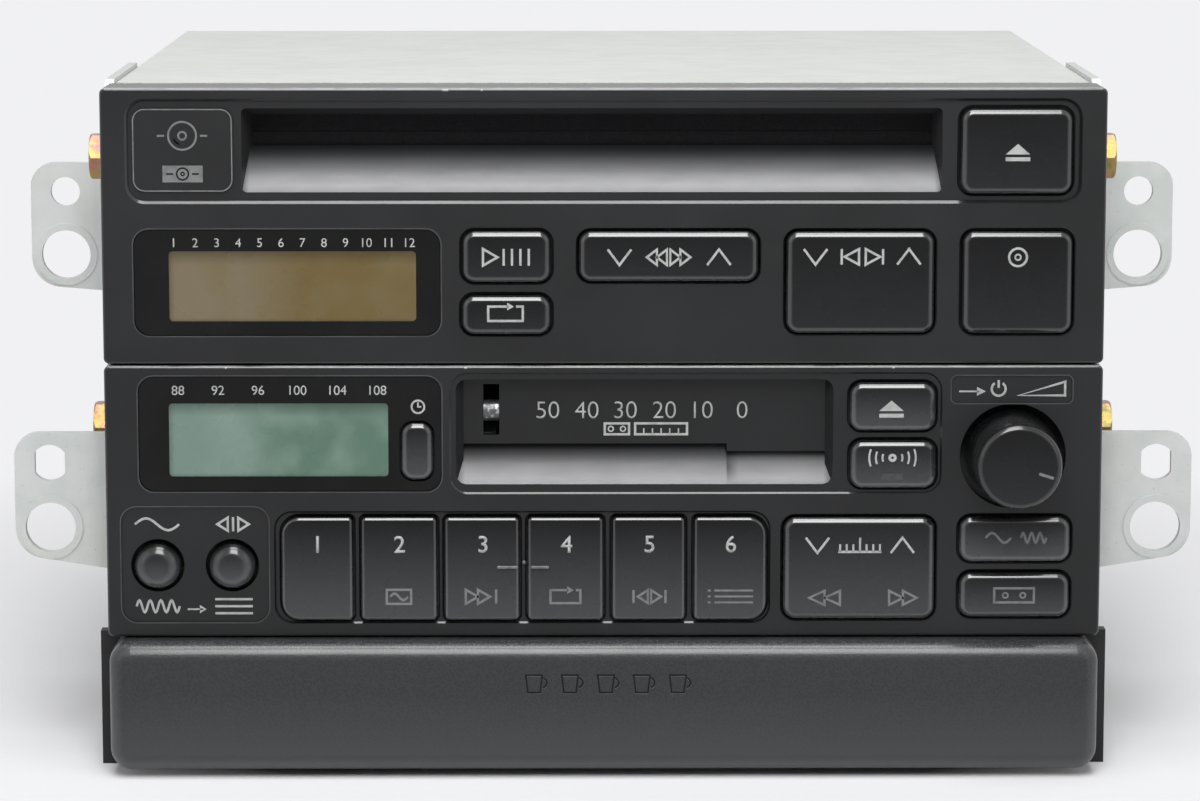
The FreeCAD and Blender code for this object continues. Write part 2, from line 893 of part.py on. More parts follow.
chin_start = size.recess_depth + size.chin_lip
throat_top = size.chin_top + size.throat_high
behind = size.panel_depth
throat = sketch_on(disc_panel, "YZ", slot_left)
polygon(
    throat,
    [
        (chin_start, size.slot_low),
        (size.chin_back, size.chin_top),
        (behind, size.chin_top),
        (behind, throat_top),
        (size.chin_back, throat_top),
        (chin_start, slot_top),
    ],
)
pocket(disc_panel, throat, size.slot_wide, plane="YZ")
mouth(
    disc_panel,
    slot_left,
    size.slot_low,
    size.slot_wide,
    size.slot_high,
    size.slot_corner,
    chin_start,
    size.trough_depth,
)
openings(disc_panel, DISC_KEYS, "cd_display")
high_keys = ("cd_eject",)
lips(disc_panel, [name for name in DISC_KEYS if name not in high_keys], ZERO, size.key_lip)
lips(disc_panel, high_keys, size.recess_depth, size.key_lip)
recess_rim = edge_inside(
    ZERO, size.disc_recess_x, disc_recess_middle, size.disc_recess_wide, size.disc_recess_high
)
eased(disc_panel, "Chamfer", size.recess_lip, recess_rim)
pivot_lugs(disc_panel, "cd_fast")
pivot_lugs(disc_panel, "cd_track")
sub_part(disc_panel, "cd_front_panel", z=disc_z)

tape_panel = panel_shell("receiver_front_panel")
screw_posts(tape_panel, "receiver")
bay_right = size.bay_left + size.bay_wide
behind_wall(
    tape_panel,
    size.bay_left - size.trough_wall,
    size.bay_low - size.trough_wall,
    size.bay_wide + 2 * size.trough_wall,
    size.panel_height - size.panel_skirt / 2 - size.bay_low + size.trough_wall,
    size.trough_depth,
)
sunk(
    tape_panel,
    size.tape_recess_x,
    size.tape_recess_low + size.tape_recess_high / 2,
    size.tape_recess_wide,
    size.tape_recess_high,
    size.recess_corner,
    size.plate_depth,
)
bay_top = size.bay_low + size.bay_high
bay_start = size.plate_depth + size.chin_lip
bay_sill = size.door_low - size.door_gap
bay = sketch_on(tape_panel, "YZ", size.bay_left)
lip_back = size.door_front - size.door_gap


def bay_outline(sill):
    """The cassette opening's section: a sloped chin, a sill, a ceiling and a lip that hides the hinge."""
    return [
        (bay_start, size.bay_low),
        (size.door_front + size.door_thick, sill),
        (behind, sill),
        (behind, size.bay_ceiling),
        (lip_back, size.bay_ceiling),
        (lip_back, bay_top),
        (bay_start, bay_top),
    ]


polygon(bay, bay_outline(bay_sill))
pocket(tape_panel, bay, size.door_step_x - size.bay_left, plane="YZ")
bay_right_part = sketch_on(tape_panel, "YZ", size.door_step_x - size.door_gap)
polygon(bay_right_part, bay_outline(bay_sill - size.door_step))
pocket(tape_panel, bay_right_part, bay_right - size.door_step_x + size.door_gap, plane="YZ")
mouth(
    tape_panel,
    size.bay_left,
    size.bay_low,
    size.bay_wide,
    size.bay_high,
    size.bay_corner,
    bay_start,
    lip_back,
)
hinge_bore = sketch_on(tape_panel, "YZ", size.bay_left - size.trough_wall - size.touch_gap)
door_pin_y = size.door_front + size.door_pin_back
circle(hinge_bore, door_pin_y, size.door_pin_z, size.door_pin_radius + size.running_fit)
bore_long = size.bay_wide + 2 * (size.trough_wall + size.touch_gap)
pocket(tape_panel, hinge_bore, bore_long, plane="YZ")
for plate in ("knob_plate", "power_plate"):
    low = getattr(size, plate + "_low")
    high = getattr(size, plate + "_high")
    wide = getattr(size, plate + "_wide")
    corner = size.window_corner if plate == "knob_plate" else size.panel_corner
    sunk(tape_panel, getattr(size, plate + "_x"), low + high / 2, wide, high, corner, size.plate_depth)
row_middle_x = size.preset_left + size.preset_wide / 2
row_middle_z = size.preset_low + size.preset_high / 2
sunk(
    tape_panel,
    row_middle_x,
    row_middle_z,
    size.preset_wide,
    size.preset_high,
    size.recess_corner,
    size.preset_sunk,
)
openings(tape_panel, [*RECEIVER_KEYS, *PRESET_KEYS], "receiver_display")
bay_keys = ("tape_eject", "info")
lips(tape_panel, [name for name in RECEIVER_KEYS if name not in bay_keys], ZERO, size.key_lip)
lips(tape_panel, bay_keys, size.plate_depth, size.bay_key_lip)
lips(tape_panel, PRESET_KEYS, size.preset_sunk, size.preset_lip)
tape_recess_middle = size.tape_recess_low + size.tape_recess_high / 2
bay_rim = edge_inside(
    ZERO, size.tape_recess_x, tape_recess_middle, size.tape_recess_wide, size.tape_recess_high
)
eased(tape_panel, "Chamfer", size.plate_lip, bay_rim)
row_rim = edge_inside(ZERO, row_middle_x, row_middle_z, size.preset_wide, size.preset_high)
eased(tape_panel, "Chamfer", size.plate_lip, row_rim)
pivot_lugs(tape_panel, "tune")
bowl = sketch_on(tape_panel, "XZ", size.panel_wall / 2)
circle(bowl, size.volume_x, size.volume_z, size.volume_bowl_radius + size.volume_bowl_wall)
pad(tape_panel, bowl, size.volume_bowl_depth + size.volume_bowl_floor - size.panel_wall / 2)
hollow_bowl = sketch_on(tape_panel, "XZ", -size.key_stand_out)
circle(hollow_bowl, size.volume_x, size.volume_z, size.volume_bowl_radius)
pocket(tape_panel, hollow_bowl, size.volume_bowl_depth + size.key_stand_out)
shaft_holes = sketch_on(tape_panel, "XZ", -size.key_stand_out)
circle(shaft_holes, size.volume_x, size.volume_z, size.volume_shaft_radius + size.touch_gap)
for knob_x in (size.bass_x, size.balance_x):
    circle(shaft_holes, knob_x, size.small_knob_z, size.knob_hole_radius)
pocket(tape_panel, shaft_holes, size.trough_depth + size.key_stand_out)
sub_part(tape_panel, "receiver_front_panel", z=receiver_z)


# Keys: a face with rounded edges, a flange behind the wall that holds it in, and a short stem.
def key_body(name, source, face=None, gap_wall=None):
    """A key about its own centre. Its flange rests behind the wall that it comes through."""
    key = rectangle_of(source)
    body = new_body(name)
    face = face or -size.key_stand_out
    wall = gap_wall or size.panel_wall
    flange_front = wall + size.key_seat_gap
    outline = sketch_on(body, "XZ", face)
    rounded(outline, ZERO, ZERO, key.wide, key.high, *corners_of(source))
    pad(body, outline, flange_front - face)
    edge = size.preset_edge if source in PRESET_KEYS else size.key_edge
    eased(body, "Fillet", edge, edge_at_y(face))
    return body, flange_front


def push_key(name, source, z, **where):
    key = rectangle_of(source)
    body, flange_front = key_body(name, source, **where)
    flange = sketch_on(body, "XZ", flange_front)
    grow = 2 * (size.key_gap + size.key_flange)
    rounded(flange, ZERO, ZERO, key.wide + grow, key.high + grow, *corners_of(source))
    pad(body, flange, size.key_flange_thick)
    stem = sketch_on(body, "XZ", flange_front)
    circle(stem, ZERO, ZERO, size.stem_radius)
    stem_end = plunger_front - size.key_travel - size.key_seat_gap
    pad(body, stem, stem_end - flange_front)
    sub_part(body, name, x=key.x, z=z + key.z)


def rocker_key(name, source, z):
    """A key that tips left and right on two upright pins."""
    key = rectangle_of(source)
    body, back = key_body(name, source)
    core = sketch_on(body, "XZ", back)
    half = size.lug_wide / 2
    rectangle(core, -half, -key.high / 2, size.lug_wide, key.high)
    pad(body, core, size.pivot_depth + half - back)
    stems = sketch_on(body, "XZ", back)
    for side in (-1, 1):
        circle(stems, side * (key.wide / 2 - size.switch_side), ZERO, size.stem_radius)
    pad(body, stems, plunger_front - size.rocker_stem_gap - back)
    pins = sketch_on(body, "XY", -key.high / 2 - size.pivot_reach)
    circle(pins, ZERO, size.pivot_depth, size.pivot_radius)
    pad(body, pins, key.high + 2 * size.pivot_reach, plane="XY")
    sub_part(body, name, x=key.x, z=z + key.z)


ROCKERS = ("cd_fast", "cd_track", "tune")
plunger_front = size.board_front - size.switch_rise - size.plunger_rise
lens_back = size.panel_wall + size.window_flange_thick
for keys, z in ((DISC_KEYS, disc_z), (RECEIVER_KEYS, receiver_z)):
    for key_name in keys:
        maker = rocker_key if key_name in ROCKERS else push_key
        maker(key_name + "_key", key_name, z)
for number, key_name in enumerate(PRESET_KEYS, start=1):
    push_key(f"preset_key_{number}", key_name, receiver_z)

push_key("window_key", "window_key", receiver_z, face=-size.window_key_stand_out, gap_wall=lens_back)


# Display windows: smoked lenses set in the panels, with a flange behind the wall.
def display_window(name, source, z, key=None):
    lens = rectangle_of(source)
    body = new_body(name)
    wide = lens.wide - 2 * size.window_fit
    high = lens.high - 2 * size.window_fit
    face = sketch_on(body, "XZ", size.window_sunk)
    rounded(face, ZERO, ZERO, wide, high, size.window_corner)
    pad(body, face, lens_back - size.window_sunk)
    rim = sketch_on(body, "XZ", size.panel_wall)
    grow = 2 * size.window_flange
    rounded(rim, ZERO, ZERO, lens.wide + grow, lens.high + grow, size.window_corner)
    pad(body, rim, size.window_flange_thick)
    if key:
        hole = sketch_on(body, "XZ", ZERO)
        gap = 2 * size.key_gap
        x, height = key.x - lens.x, key.z - lens.z
        rounded(hole, x, height, key.wide + gap, key.high + gap, size.key_corner + size.key_gap)
        pocket(body, hole, lens_back + size.key_gap)
    sub_part(body, name, x=lens.x, z=z + lens.z)


display_window("cd_display_window", "cd_display", disc_z)
display_window("receiver_display_window", "receiver_display", receiver_z, rectangle_of("window_key"))


# Display glasses: flat modules between the lens and the key board.
def display_glass(name, source, z):
    lit = rectangle_of(source)
    body = new_body(name)
    front = lens_back + size.touch_gap
    face = sketch_on(body, "XZ", front)
    grow = 2 * size.glass_margin
    wide = lit.wide + grow
    high = lit.high + grow
    rectangle(face, -wide / 2, -high / 2, wide, high)
    pad(body, face, size.board_front - size.glass_back_gap - front)
    sub_part(body, name, x=lit.x, z=z + lit.z)


display_glass("cd_display_glass", "cd_glass", disc_z)
display_glass("receiver_display_glass", "receiver_glass", receiver_z)


# Key boards: circuit boards on the posts, with a switch behind each push key and two behind a rocker.
board_back = size.board_front + size.board_thick


def board_part(name, left, right, low, high):
    return block(name, (left, size.board_front, low), (right, board_back, high))


def switch(name, x, z):
    """A push switch on the front of the board, and its plunger."""
    half = size.switch_side / 2
    front = size.board_front - size.switch_rise
    case = block(name, (x - half, front, z - half), (x + half, size.board_front, z + half))
    plunger = rod(name, (x, plunger_front, z), size.plunger_radius, size.plunger_rise, "y")
    return [case, plunger]


def switches(name, keys):
    made = []
    for key_name in keys:
        key = rectangle_of(key_name)
        if key_name in ROCKERS:
            side = key.wide / 2 - size.switch_side
            made += switch(name, key.x - side, key.z) + switch(name, key.x + side, key.z)
        else:
            made += switch(name, key.x, key.z)
    return made


half_board = size.key_board_half
slot_right = size.slot_x + size.slot_wide / 2 + size.trough_wall
disc_board_name = "cd_key_board"
disc_board_parts = [
    board_part(disc_board_name, -half_board, half_board, size.key_board_low, size.disc_key_board_step),
    board_part(
        disc_board_name,
        slot_right + size.key_board_gap,
        half_board,
        size.disc_key_board_step,
        size.key_board_high,
    ),
]
disc_key_board = fused(disc_board_name, *disc_board_parts, *switches(disc_board_name, DISC_KEYS))
sub_part(disc_key_board, disc_board_name, z=disc_z)

tape_board_name = "receiver_key_board"
bay_left_side = size.bay_left - size.trough_wall - size.key_board_gap
bay_right_side = bay_right + size.trough_wall + size.key_board_gap
step = size.tape_key_board_step
CONTROLS = {
    "volume": (size.volume_x, size.volume_z, size.volume_shaft_radius),
    "bass": (size.bass_x, size.small_knob_z, size.small_shaft_radius),
    "balance": (size.balance_x, size.small_knob_z, size.small_shaft_radius),
}
pot_half = size.pot_side / 2
bore_end = board_back + size.pot_depth - size.board_thick
pots = []
pot_bores = []
for x, z, radius in CONTROLS.values():
    low_corner = (x - pot_half, board_back, z - pot_half)
    high_corner = (x + pot_half, board_back + size.pot_depth, z + pot_half)
    pots.append(block(tape_board_name, low_corner, high_corner))
    start = (x, size.board_front - size.touch_gap, z)
    length = bore_end - size.board_front + size.touch_gap
    pot_bores.append(rod(tape_board_name, start, radius + size.running_fit, length, "y"))
tape_board_parts = [
    board_part(tape_board_name, -half_board, half_board, size.key_board_low, step),
    board_part(tape_board_name, -half_board, bay_left_side, step, size.key_board_high),
    board_part(tape_board_name, bay_right_side, half_board, step, size.key_board_high),
]
board_switches = switches(tape_board_name, [*RECEIVER_KEYS, *PRESET_KEYS, "window_key"])
tape_key_board = cut(
    tape_board_name,
    fused(tape_board_name, *tape_board_parts, *board_switches, *pots),
    *pot_bores,
)
sub_part(tape_key_board, tape_board_name, z=receiver_z)


# Knobs and shafts: each shaft slides in its potentiometer, and the knob turns on the shaft.
def turned(body, points):
    """A solid turned about the body's Y axis, from pairs of radius and depth."""
    ground = sketch_on(body, "XY")
    polygon(ground, points)
    made = body.newObject("PartDesign::Revolution", fresh(body.Name + "_turned"))
    made.Profile = ground
    made.ReferenceAxis = (ground, ["V_Axis"])
    made.Angle = 360
    return made


def control(name, front, seat, tip, wide, edge, travel):
    """A knob and its shaft on one axis."""
    x, z, radius = CONTROLS[name]
    bore = radius + size.running_fit
    shaft_front = seat - size.shaft_grip
    knob = new_body(name + "_knob")
    turned(
        knob,
        [
            (ZERO, front),
            (tip, front),
            (wide, seat),
            (bore, seat),
            (bore, shaft_front - size.running_fit),
            (ZERO, shaft_front - size.running_fit),
        ],
    )
    eased(knob, "Fillet", edge, edge_at_y(front))
    sub_part(knob, name + "_knob", x=x, z=receiver_z + z)
    end = bore_end - travel - size.shaft_end_gap
    shaft = rod(name + "_shaft", (ZERO, ZERO, ZERO), radius, end - shaft_front, "y")
    sub_part(shaft, name + "_shaft", x=x, y=shaft_front, z=receiver_z + z)


control(
    "volume",
    -size.volume_stand_out,
    size.volume_seat,
    size.volume_tip_radius,
    size.volume_radius,
    size.volume_edge,
    size.volume_push,
)
small_seat = size.small_knob_pull + size.small_knob_hold
for name in ("bass", "balance"):
    control(
        name,
        -size.small_knob_stand_out,
        small_seat,
        size.small_knob_radius,
        size.small_knob_radius,
        size.small_knob_dome,
        ZERO,
    )

# Tape door: a flap hung on two pins at its top, with a steel roller across its slot.
door_name = "tape_door"
door_left = size.bay_left + size.door_side_gap
door_right = bay_right - size.door_side_gap
door_back = size.door_front + size.door_thick
door_top = size.door_pin_z + size.door_top_rise
door_leaf = block(door_name, (door_left, size.door_front, size.door_low), (door_right, door_back, door_top))
door_lip = block(
    door_name,
    (size.door_step_x, size.door_front, size.door_low - size.door_step),
    (door_right, door_back, size.door_low),
)
pin_reach = size.door_side_gap + size.door_pin_reach
door_pin = rod(
    door_name,
    (door_left - pin_reach, door_pin_y, size.door_pin_z),
    size.door_pin_radius,
    door_right - door_left + 2 * pin_reach,
    "x",
)
door_slot_left = size.door_slot_x - size.door_slot_wide / 2
door_slot_right = door_slot_left + size.door_slot_wide
door_slot_top = size.door_slot_low + size.door_slot_high
door_slot = block(
    door_name,
    (door_slot_left, ZERO, size.door_slot_low),
    (door_slot_right, size.panel_depth, door_slot_top),
)
roller_axis = size.door_front + size.door_roller_radius
roller_start = (door_slot_left, roller_axis, size.door_roller_z)
round_roller = rod(door_name, roller_start, size.door_roller_radius, size.door_slot_wide, "x")
roller_back = block(
    door_name,
    (door_slot_left, door_back, size.door_slot_low),
    (door_slot_right, roller_axis + size.door_roller_radius, door_slot_top),
)
door_roller = cut(door_name, round_roller, roller_back)
door_flap = cut(door_name, fused(door_name, door_leaf, door_lip, door_pin), door_slot)
sub_part(group(door_name, door_flap, door_roller), door_name, z=receiver_z)

# Chassis trays: folded sheet, open at the top and front, with raised pads for the bracket bolts.
chassis_top = size.chassis_low + size.chassis_high
chassis_floor = size.chassis_low + size.sheet
back_inside = size.deck_depth - size.sheet
thread = size.bolt_radius + size.running_fit


def tray(name, z, additions=(), openings_behind=()):
    half = size.chassis_half
    shell = block(name, (-half, size.panel_depth, size.chassis_low), (half, size.deck_depth, chassis_top))
    room = block(
        name,
        (size.sheet - half, ZERO, chassis_floor),
        (half - size.sheet, back_inside, size.panel_height + size.sheet),
    )
    pads = []
    holes = []
    for y in (size.bolt_front_y, size.bolt_back_y):
        pad_long = size.bracket_inner - half
        for x in (-size.bracket_inner, half):
            pads.append(rod(name, (x, y, size.bolt_z), size.boss_radius, pad_long, "x"))
        holes.append(rod(name, (-size.bracket_inner, y, size.bolt_z), thread, 2 * size.bracket_inner, "x"))
    folded = cut(name, shell, room)
    made = cut(name, fused(name, folded, *pads, *additions), *holes, *openings_behind)
    return sub_part(made, name, z=z)


# The disc deck's tray has a strap across its front, with slots for the panel's hooks.
strap_name = "cd_chassis"
strap_top = chassis_top - size.strap_drop
strap_low = strap_top - size.sheet
strap_half = size.chassis_half - size.sheet / 2
strap_plate = block(
    strap_name,
    (-strap_half, size.panel_depth, strap_low),
    (strap_half, size.panel_depth + size.strap_depth, strap_top),
)
strap_slots = []
for x in (size.strap_slot_a, size.strap_slot_b, size.strap_slot_c):
    half = size.strap_slot_wide / 2
    low_corner = (x - half, size.strap_slot_y, strap_low - size.sheet)
    high_corner = (x + half, size.strap_slot_y + size.strap_slot_deep, strap_top + size.sheet)
    strap_slots.append(block(strap_name, low_corner, high_corner))


def rear_hole(name, x, low, wide, high):
    """The hole in a tray's back wall that a socket passes through."""
    gap = size.socket_gap
    low_corner = (x - wide / 2 - gap, back_inside - size.sheet, low - gap)
    high_corner = (x + wide / 2 + gap, size.deck_depth + size.sheet, low + high + gap)
    return block(name, low_corner, high_corner)


link_hole = rear_hole(strap_name, size.link_x, size.link_low, size.link_wide, size.link_high)
tray(strap_name, disc_z, [cut(strap_name, strap_plate, *strap_slots)], [link_hole])
tray_name = "receiver_chassis"
socket_hole = rear_hole(tray_name, size.socket_x, size.socket_low, size.socket_wide, size.socket_high)
aerial_outer = size.aerial_bore + size.aerial_wall
aerial_hole = rod(
    tray_name,
    (size.aerial_x, back_inside - size.sheet, size.aerial_z),
    aerial_outer + size.socket_gap,
    3 * size.sheet,
    "y",
)
tray(tray_name, receiver_z, openings_behind=[socket_hole, aerial_hole])


# Top covers: flat lids with short flanges folded down outside the tray.
def top_cover(name, z):
    half = size.chassis_half + size.cover_sheet
    low = chassis_top - size.cover_flange
    back = size.deck_depth + size.cover_sheet
    lid = block(name, (-half, size.cover_front, low), (half, back, chassis_top + size.cover_sheet))
    room = block(
        name,
        (-size.chassis_half, ZERO, low - size.sheet),
        (size.chassis_half, size.deck_depth, chassis_top),
    )
    sub_part(cut(name, lid, room), name, z=z)


top_cover("cd_top_cover", disc_z)
top_cover("receiver_top_cover", receiver_z)

# Disc mechanism: a pressed frame on four posts, with the roller, the turntable, the pickup and the clamp.
frame_name = "disc_mech_frame"
mech_left = size.slot_x - size.mech_half
mech_right = size.slot_x + size.mech_half
mech_top = size.mech_floor + size.mech_sheet
frame_parts = [
    block(frame_name, (mech_left, size.mech_front, size.mech_floor), (mech_right, size.mech_back, mech_top)),
]
mech_posts = []
for x in (mech_left + size.mech_post_inset, mech_right - size.mech_post_inset):
    for y in (size.mech_front + size.mech_post_inset, size.mech_back - size.mech_post_inset):
        post_long = size.mech_floor - chassis_floor
        mech_posts.append(rod(frame_name, (x, y, chassis_floor), size.mech_post_radius, post_long))
for x in (mech_left, mech_right - size.mech_sheet):
    low_corner = (x, size.mech_front, size.mech_floor)
    high_corner = (x + size.mech_sheet, size.mech_front + size.cheek_long, size.cheek_top)
    frame_parts.append(block(frame_name, low_corner, high_corner))
lug_start = size.clamp_arm_half + size.touch_gap
for x in (size.slot_x - lug_start - size.clamp_lug_thick, size.slot_x + lug_start):
    half = size.clamp_lug_long / 2
    low_corner = (x, size.clamp_pin_y - half, size.mech_floor)
    top = size.clamp_pin_z + 2 * size.clamp_pin_radius
    high_corner = (x + size.clamp_lug_thick, size.clamp_pin_y + half, top)
    frame_parts.append(block(frame_name, low_corner, high_corner))
rod_starts = (size.rod_start, size.rod_end - size.rod_block)
rods = []
frame_bores = []
for side in (-1, 1):
    y = size.disc_y + side * size.rod_half_gap
    half = size.rod_block_wide / 2
    for start in rod_starts:
        low_corner = (size.slot_x + start, y - half, size.mech_floor)
        high_corner = (size.slot_x + start + size.rod_block, y + half, size.rod_z + half)
        frame_parts.append(block(frame_name, low_corner, high_corner))
    start = (size.slot_x + size.rod_start, y, size.rod_z)
    length = size.rod_end - size.rod_start
    rods.append(rod(frame_name, start, size.rod_radius, length, "x"))
    frame_bores.append(rod(frame_name, start, size.rod_radius + size.running_fit, length, "x"))
clamp_pin_long = 2 * (lug_start + size.clamp_lug_thick)
clamp_bore_start = (size.slot_x - clamp_pin_long / 2, size.clamp_pin_y, size.clamp_pin_z)
frame_bores.append(
    rod(frame_name, clamp_bore_start, size.clamp_pin_radius + size.running_fit, clamp_pin_long, "x")
)
roller_start = (mech_left, size.roller_y, size.roller_z)
roller_long = 2 * size.mech_half
frame_bores.append(
    rod(frame_name, roller_start, size.roller_shaft_radius + size.running_fit, roller_long, "x")
)
table_low = size.table_top - size.table_thick
spindle_motor = cut(
    frame_name,
    rod(
        frame_name,
        (size.slot_x, size.disc_y, mech_top),
        size.motor_radius,
        table_low - size.touch_gap - mech_top,
    ),
    rod(
        frame_name,
        (size.slot_x, size.disc_y, table_low - size.spindle_long - size.touch_gap),
        size.spindle_radius + size.running_fit,
        size.spindle_long + size.touch_gap,
    ),
)
sled_motor = rod(
    frame_name,
    (size.slot_x + size.rod_start, size.sled_motor_y, mech_top + size.sled_motor_radius),
    size.sled_motor_radius,
    size.sled_motor_long,
    "x",
)
mech_frame = cut(frame_name, fused(frame_name, *frame_parts), *frame_bores)
frame_solids = [mech_frame, *mech_posts, *rods, spindle_motor, sled_motor]
sub_part(group(frame_name, *frame_solids), frame_name, z=disc_z)

roller_name = "load_roller"
rubber = rod(
    roller_name,
    (size.slot_x - size.roller_half, size.roller_y, size.roller_z),
    size.roller_radius,
    2 * size.roller_half,
    "x",
)
roller_shaft = rod(roller_name, roller_start, size.roller_shaft_radius, roller_long, "x")
sub_part(fused(roller_name, rubber, roller_shaft), roller_name, z=disc_z)

table_name = "disc_turntable"
table = fused(
    table_name,
    rod(table_name, (size.slot_x, size.disc_y, table_low), size.table_radius, size.table_thick),
    rod(table_name, (size.slot_x, size.disc_y, size.table_top), size.hub_radius, size.hub_rise),
    rod(
        table_name,
        (size.slot_x, size.disc_y, table_low - size.spindle_long),
        size.spindle_radius,
        size.spindle_long,
    ),
)
sub_part(table, table_name, z=disc_z)

clamp_name = "clamp_arm"
clamp_top = size.clamp_bottom + size.clamp_thick
arm_half = size.clamp_arm_half
pin_eye = 1.5 * size.clamp_pin_radius
clamp = fused(
    clamp_name,
    rod(clamp_name, (size.slot_x, size.disc_y, size.clamp_bottom), size.clamp_radius, size.clamp_thick),
    block(
        clamp_name,
        (size.slot_x - arm_half, size.disc_y, clamp_top),
        (size.slot_x + arm_half, size.clamp_pin_y + pin_eye, clamp_top + size.clamp_arm_thick),
    ),
    block(
        clamp_name,
        (size.slot_x - arm_half, size.clamp_pin_y - pin_eye, size.clamp_pin_z - size.clamp_pin_radius),
        (size.slot_x + arm_half, size.clamp_pin_y + pin_eye, clamp_top),
    ),
    rod(clamp_name, clamp_bore_start, size.clamp_pin_radius, clamp_pin_long, "x"),
)
sub_part(clamp, clamp_name, z=disc_z)

pickup_name = "optical_pickup"
pickup_left = size.slot_x + size.pickup_out - size.pickup_long / 2
pickup_top = size.pickup_low + size.pickup_high
sled = block(
    pickup_name,
    (pickup_left, size.disc_y - size.pickup_wide / 2, size.pickup_low),
    (pickup_left + size.pickup_long, size.disc_y + size.pickup_wide / 2, pickup_top),
)
rod_holes = []
for side in (-1, 1):
    start = (pickup_left - size.touch_gap, size.disc_y + side * size.rod_half_gap, size.rod_z)
    length = size.pickup_long + 2 * size.touch_gap
    rod_holes.append(rod(pickup_name, start, size.rod_radius + size.running_fit, length, "x"))
lens = rod(
    pickup_name,
    (size.slot_x + size.lens_out, size.disc_y, pickup_top),
    size.lens_radius,
    size.lens_rise,
)
sub_part(fused(pickup_name, cut(pickup_name, sled, *rod_holes), lens), pickup_name, z=disc_z)


# Main boards: each stands on four short posts on its tray's floor and carries chips and capacitors.
def main_board(name, x, half, front, long, z, holes=()):
    back = front + long
    thick = size.board_thick
    top = size.main_board_z + thick
    parts = [block(name, (x - half, front, size.main_board_z), (x + half, back, top))]
    inset = size.board_post_inset
    for post_x in (x - half + inset, x + half - inset):
        for y in (front + inset, back - inset):
            rise = size.main_board_z - chassis_floor
            parts.append(rod(name, (post_x, y, chassis_floor), size.board_post_radius, rise))
    chip = size.chip_side
    for k in (1, 2, 3):
        corner = (x - k * chip + chip / 2, front + k * chip, top)
        parts.append(block(name, corner, (corner[0] + chip, corner[1] + chip / 2, top + size.chip_high)))
        place_y = back - k * chip
        spot = (x + half / 2 - k * size.board_post_inset, place_y, top)
        parts.append(rod(name, spot, size.capacitor_radius, size.capacitor_high))
    board = fused(name, *parts)
    if holes:
        board = cut(name, board, *holes)
    sub_part(board, name, z=z)


main_board(
    "cd_main_board",
    size.slot_x,
    size.disc_board_half,
    size.disc_board_front,
    size.disc_board_long,
    disc_z,
)

# Cassette mechanism: a plate on four legs carries the reels, the capstan, the motor and the head plate.
plate_name = "tape_mech_plate"
plate_left = size.tape_plate_left
plate_right = plate_left + size.tape_plate_wide
plate_back = size.tape_plate_front + size.tape_plate_long
plate_top = size.tape_plate_z + size.tape_plate_sheet
plate_corner = (plate_left, size.tape_plate_front, size.tape_plate_z)
plate_parts = [block(plate_name, plate_corner, (plate_right, plate_back, plate_top))]
leg_places = []
for x in (plate_left + size.tape_leg_inset, plate_right - size.tape_leg_inset):
    for y in (size.tape_plate_front + size.tape_leg_inset, plate_back - size.tape_leg_inset):
        leg_places.append((x, y))
for x, y in leg_places:
    rise = size.tape_plate_z - chassis_floor
    plate_parts.append(rod(plate_name, (x, y, chassis_floor), size.tape_leg_radius, rise))
reel_places = [size.reel_middle_y - size.reel_spacing / 2, size.reel_middle_y + size.reel_spacing / 2]
bearings = [(size.reel_x, y, size.reel_shaft_radius) for y in reel_places]
bearings.append((size.capstan_x, size.capstan_y, size.capstan_radius))
bearings.append((size.tape_motor_x, size.tape_motor_y, size.motor_shaft_radius))
bearing_low = size.tape_plate_z - size.bearing_drop
bearing_bores = []
for x, y, radius in bearings:
    plate_parts.append(rod(plate_name, (x, y, bearing_low), size.bearing_radius, size.bearing_drop))
    length = size.bearing_drop + size.tape_plate_sheet + 2 * size.touch_gap
    start = (x, y, bearing_low - size.touch_gap)
    bearing_bores.append(rod(plate_name, start, radius + size.running_fit, length))
carrier_half = size.cassette_half + size.carrier_gap
tab_reach = carrier_half + size.carrier_sheet + size.carrier_tab / 2
carrier_pins = []
for x in (size.cassette_x - tab_reach, size.cassette_x + tab_reach):
    for y in (size.carrier_pin_front, size.carrier_pin_back):
        carrier_pins.append((x, y))
for x, y in carrier_pins:
    rise = size.carrier_pin_top - plate_top
    plate_parts.append(rod(plate_name, (x, y, plate_top), size.carrier_pin_radius, rise))
motor_spot = (size.tape_motor_x, size.tape_motor_y, plate_top)
motor_can = cut(
    plate_name,
    rod(plate_name, motor_spot, size.tape_motor_radius, size.tape_motor_high),
    rod(plate_name, motor_spot, size.motor_shaft_radius + size.running_fit, size.motor_shaft_grip),
)
tape_plate = cut(plate_name, fused(plate_name, *plate_parts), *bearing_bores)
sub_part(group(plate_name, tape_plate, motor_can), plate_name, z=receiver_z)

carrier_name = "cassette_carrier"
carrier_left = size.cassette_x - carrier_half
carrier_right = size.cassette_x + carrier_half
wall = size.carrier_sheet
carrier_shell = block(
    carrier_name,
    (carrier_left - wall, size.carrier_front, size.carrier_low),
    (carrier_right + wall, size.carrier_back, size.carrier_ceiling + wall),
)
carrier_room = block(
    carrier_name,
    (carrier_left, ZERO, size.carrier_low + wall),
    (carrier_right, size.carrier_back - wall, size.carrier_ceiling),
)
carrier_floor = block(
    carrier_name,
    (carrier_left + size.carrier_rail, ZERO, size.carrier_low - wall),
    (carrier_right - size.carrier_rail, size.carrier_back - wall, size.carrier_ceiling),
)
head_window = block(
    carrier_name,
    (carrier_right - size.carrier_rail - wall, size.head_window_y, size.carrier_low - wall),
    (carrier_right + 2 * wall, size.head_window_y + size.head_window_long, size.head_window_top),
)
carrier_tabs = []
carrier_holes = []
